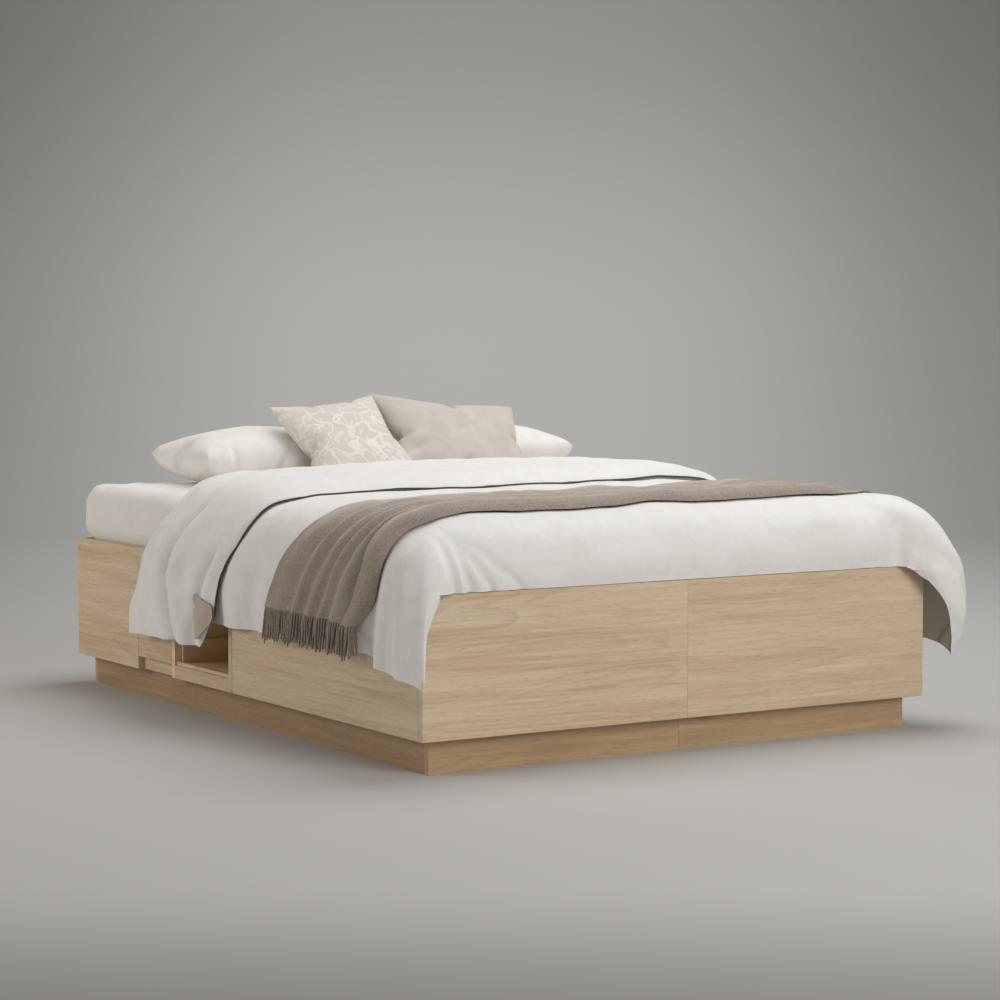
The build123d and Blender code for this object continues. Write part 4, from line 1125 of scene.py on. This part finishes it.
pillow_cotton = woven_cotton("white_cotton_pillowcase", "#f0ede8", "#e9e5df", crumple=0.45)
pillow_high, pillow_sink = 0.200, 0.004
corner_in, corner_up = 0.10, 0.022  # the filling draws the corners in and lifts them
pillow_rest = mattress.data.vertices[int(np.argmax(skin[:, 2]))].co.z - pillow_sink
for side_name, middle, size, turn in (
    ("left", (-0.304, 0.785), (0.63, 0.43), 2), ("right", (0.435, 0.785), (0.69, 0.43), -2)
):
    pillow, cover = stuffed_cover(f"pillow_{side_name}_case", *size, pillow_high, 0.0125, 9.0, 26, pillow_cotton)
    flat_side = -0.47 * pillow_high
    pressed = np.minimum(cover[:, 2], 0)
    cover[:, 2] = np.maximum(cover[:, 2], 0) + flat_side * np.tanh(pressed / flat_side)
    share = np.abs(cover[:, :2]) / (np.array(size) / 2)
    corner = (share[:, 0] * share[:, 1]) ** 2
    cover[:, :2] *= 1 - corner_in * corner[:, None]
    cover[:, 2] += corner_up * corner
    turned = np.array(Matrix.Rotation(radians(turn), 3, "Z"))
    cover = cover @ turned.T + (*middle, 0.0)
    cover[:, 2] += pillow_rest - cover[:, 2].min()
    put_cover(pillow, cover)
    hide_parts(f"pillow_{side_name}")
    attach(pillow, "bed_frame")

# CUSHIONS
# Two scatter cushions that lean back on the pillows: one in ivory jacquard, one in plain greige velvet.
ivory_jacquard, tree, place = new_material("ivory_jacquard")
# figured weave: matt ivory ground with satin leaf-like scrolls 30 to 60 mm long in sand, threads 1.2 mm apart
wander = node(tree, "TexNoise", {0: place, "Scale": 7.0, "Detail": 2.0, "Distortion": 0.5}, "Color")
pulled = node(tree, "Mix", {0: 0.16, 4: place, 5: wander}, 1, data_type="VECTOR")
leaf = node(tree, "TexVoronoi", {0: pulled, "Scale": 30.0, "Randomness": 0.9, "Smoothness": 0.4}, feature="SMOOTH_F1")
vein = node(tree, "TexVoronoi", {0: pulled, "Scale": 17.0, "Randomness": 0.8}, feature="DISTANCE_TO_EDGE")
scroll = node(tree, "Math", {0: leaf, 1: 9.0}, operation="MULTIPLY")
scroll = node(tree, "Math", {0: scroll}, operation="SINE")
figure = node(tree, "MapRange", {0: scroll, 1: -0.3, 2: 0.6, 3: 0.0, 4: 0.65}, interpolation_type="SMOOTHSTEP")
line = node(tree, "MapRange", {0: vein, 1: 0.02, 2: 0.07, 3: 1.0, 4: 0.0}, interpolation_type="SMOOTHSTEP")
woven = node(tree, "Math", {0: figure, 1: line}, operation="MAXIMUM")
thread = node(tree, "TexNoise", {0: place, "Scale": 800.0, "Detail": 1.0})
tone = node(tree, "Mix", {0: woven, 6: linear("#d7cec4"), 7: linear("#e4ddd4")}, 2, data_type="RGBA")
raised = node(tree, "Math", {0: woven, 1: thread}, operation="ADD")
bump = node(tree, "Bump", {"Height": raised, "Strength": 0.3, "Distance": 0.0008})
rough = node(tree, "MapRange", {0: woven, 1: 0.0, 2: 1.0, 3: 0.8, 4: 0.5})
surface = node(tree, "BsdfPrincipled", {"Base Color": tone, "Roughness": rough, "Normal": bump, "Sheen Weight": 0.1})
node(tree, "OutputMaterial", {0: surface})

greige_velvet, tree, place = new_material("greige_velvet")
# short cotton pile: soft broad sheen and faint brushed patches about 70 mm across
brushed = node(tree, "TexNoise", {0: place, "Scale": 14.0, "Detail": 3.0, "Distortion": 0.8})
pile = node(tree, "TexNoise", {0: place, "Scale": 700.0, "Detail": 2.0})
tone = node(tree, "ValToRGB", {0: brushed}, stops=((0.3, linear("#c6bbb1")), (0.7, linear("#d3c9c0"))))
bump = node(tree, "Bump", {"Height": pile, "Strength": 0.25, "Distance": 0.0006})
surface = node(
    tree, "BsdfPrincipled",
    {
        "Base Color": tone, "Roughness": 0.9, "Normal": bump, "Sheen Weight": 0.5, "Sheen Roughness": 0.35,
        "Specular IOR Level": 0.2
    }
)
node(tree, "OutputMaterial", {0: surface})

for name, spot, lean, turn, size, material, slot in (
    ("patterned", (-0.105, 0.5664, 0.7335), 43, 7, (0.404, 0.414, 0.11), ivory_jacquard, "ivory_jacquard"),
    ("plain", (0.289, 0.584, 0.7333), 43, -8, (0.52, 0.40, 0.115), greige_velvet, "greige_velvet"),
):
    cushion, cover = stuffed_cover(f"cushion_{name}_cover", *size, 0.010, 9.0, 24, material)
    if name == "plain":  # filled out along its upper edge, with two creases where the other presses on its corner
        cover[:, 1] += 0.012 * np.clip(cover[:, 1] / 0.19, 0, 1) ** 3 * (1 - (cover[:, 0] / 0.26) ** 2)
        for across, up_from, run, depth in ((-0.175, -0.075, 0.050, 0.011), (-0.150, -0.130, 0.042, 0.010)):
            off = np.abs(cover[:, 1] - up_from - 0.35 * (cover[:, 0] - across)) / 0.014
            dent = np.exp(-(off**2) - ((cover[:, 0] - across) / run) ** 2)
            cover[:, 2] -= depth * dent * (cover[:, 2] > 0)
    leaning = Matrix.Translation(spot) @ Matrix.Rotation(radians(lean), 4, "X") @ Matrix.Rotation(radians(turn), 4, "Z")
    turned = np.array(leaning)
    cover = cover @ turned[:3, :3].T + turned[:3, 3]
    put_cover(cushion, cover)
    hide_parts(f"cushion_{name}")
    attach(cushion, "bed_frame")

# STUDIO
# A pale floor that sweeps up into the backdrop, broad lamps overhead, at the front and on the backdrop, a fill
# at the left, and a camera with a long lens at the height of a standing chest.
floor_paint, tree, place = new_material("pale_matt_floor")
# paper roll in pale paint round the bed; darkened at its sides, high up and close to the camera as painted shade for
# light falling off away from the lamps
across, away, up = node(tree, "SeparateXYZ", {0: place}).node.outputs
beside = node(tree, "Math", {0: across}, operation="ABSOLUTE")
tone = linear("#c2c0bd")
for measure, begin, end, most in ((beside, 0.9, 3.6, 0.40), (up, 0.9, 3.6, 0.50), (away, -2.5, -3.7, 0.60)):
    painted_falloff = node(tree, "MapRange", {0: measure, 1: begin, 2: end, 3: 0.0, 4: most}, interpolation_type="SMOOTHSTEP")
    tone = node(tree, "Mix", {0: painted_falloff, 6: tone, 7: linear("#6a6764")}, 2, data_type="RGBA")
surface = node(tree, "BsdfPrincipled", {"Base Color": tone, "Roughness": 0.9, "Specular IOR Level": 0.2})
node(tree, "OutputMaterial", {0: surface})

sweep_run = [(-14.0, 0.0), (4.0, 0.0), (6.0, 0.0)]
sweep_run += [(6.0 + 4.0 * sin(a), 4.0 - 4.0 * cos(a)) for a in np.linspace(0.1, pi / 2, 14)]
sweep_run += [(10.0, 9.0)]
sweep_points = [(wide, far, height) for far, height in sweep_run for wide in (-16.0, 16.0)]
sweep_faces = [[2 * i, 2 * i + 1, 2 * i + 3, 2 * i + 2] for i in range(len(sweep_run) - 1)]
floor = make_piece("floor_and_backdrop", sweep_points, sweep_faces, floor_paint)
view_turn = radians(-31.923)
floor.rotation_euler = (0.0, 0.0, view_turn)


def add_lamp(name, spot, aim, size, power, colour):
    """A square soft lamp at spot that faces aim."""
    light = bpy.data.lights.new(name, "AREA")
    light.energy = power
    light.size = size
    light.color = linear(colour)[:3]
    lamp = bpy.data.objects.new(name, light)
    lamp.location = spot
    lamp.rotation_euler = (Vector(aim) - Vector(spot)).to_track_quat("-Z", "Y").to_euler()
    bpy.context.scene.collection.objects.link(lamp)


add_lamp("lamp_overhead", (1.6, 0.3, 4.4), (0.2, 0.2, 0.0), 3.4, 124, "#ffffff")
add_lamp("lamp_front", (0.4, -6.6, 3.2), (0.0, -0.6, 0.3), 3.0, 172, "#fffefc")
add_lamp("lamp_left", (-5.0, 2.4, 2.0), (-0.6, 0.3, 0.4), 2.4, 78, "#fff8ee")
add_lamp("lamp_backdrop", (2.8, 5.0, 5.2), (5.6, 7.8, 1.4), 5.0, 145, "#ffffff")
world = bpy.data.worlds.new("studio_air")
bpy.context.scene.world = world
world.use_nodes = True
world.node_tree.nodes.clear()
sky = node(world.node_tree, "Background", {"Color": linear("#dddcda"), "Strength": 0.36})
node(world.node_tree, "OutputWorld", {0: sky})

eye = bpy.data.cameras.new("camera")
eye.lens = 97.26
eye.sensor_width = 36.0
camera = bpy.data.objects.new("camera", eye)
camera.location = (-4.088, -6.698, 1.1158)
camera.rotation_euler = (radians(90 - 3.796), 0.0, view_turn)
bpy.context.scene.collection.objects.link(camera)
bpy.context.scene.camera = camera
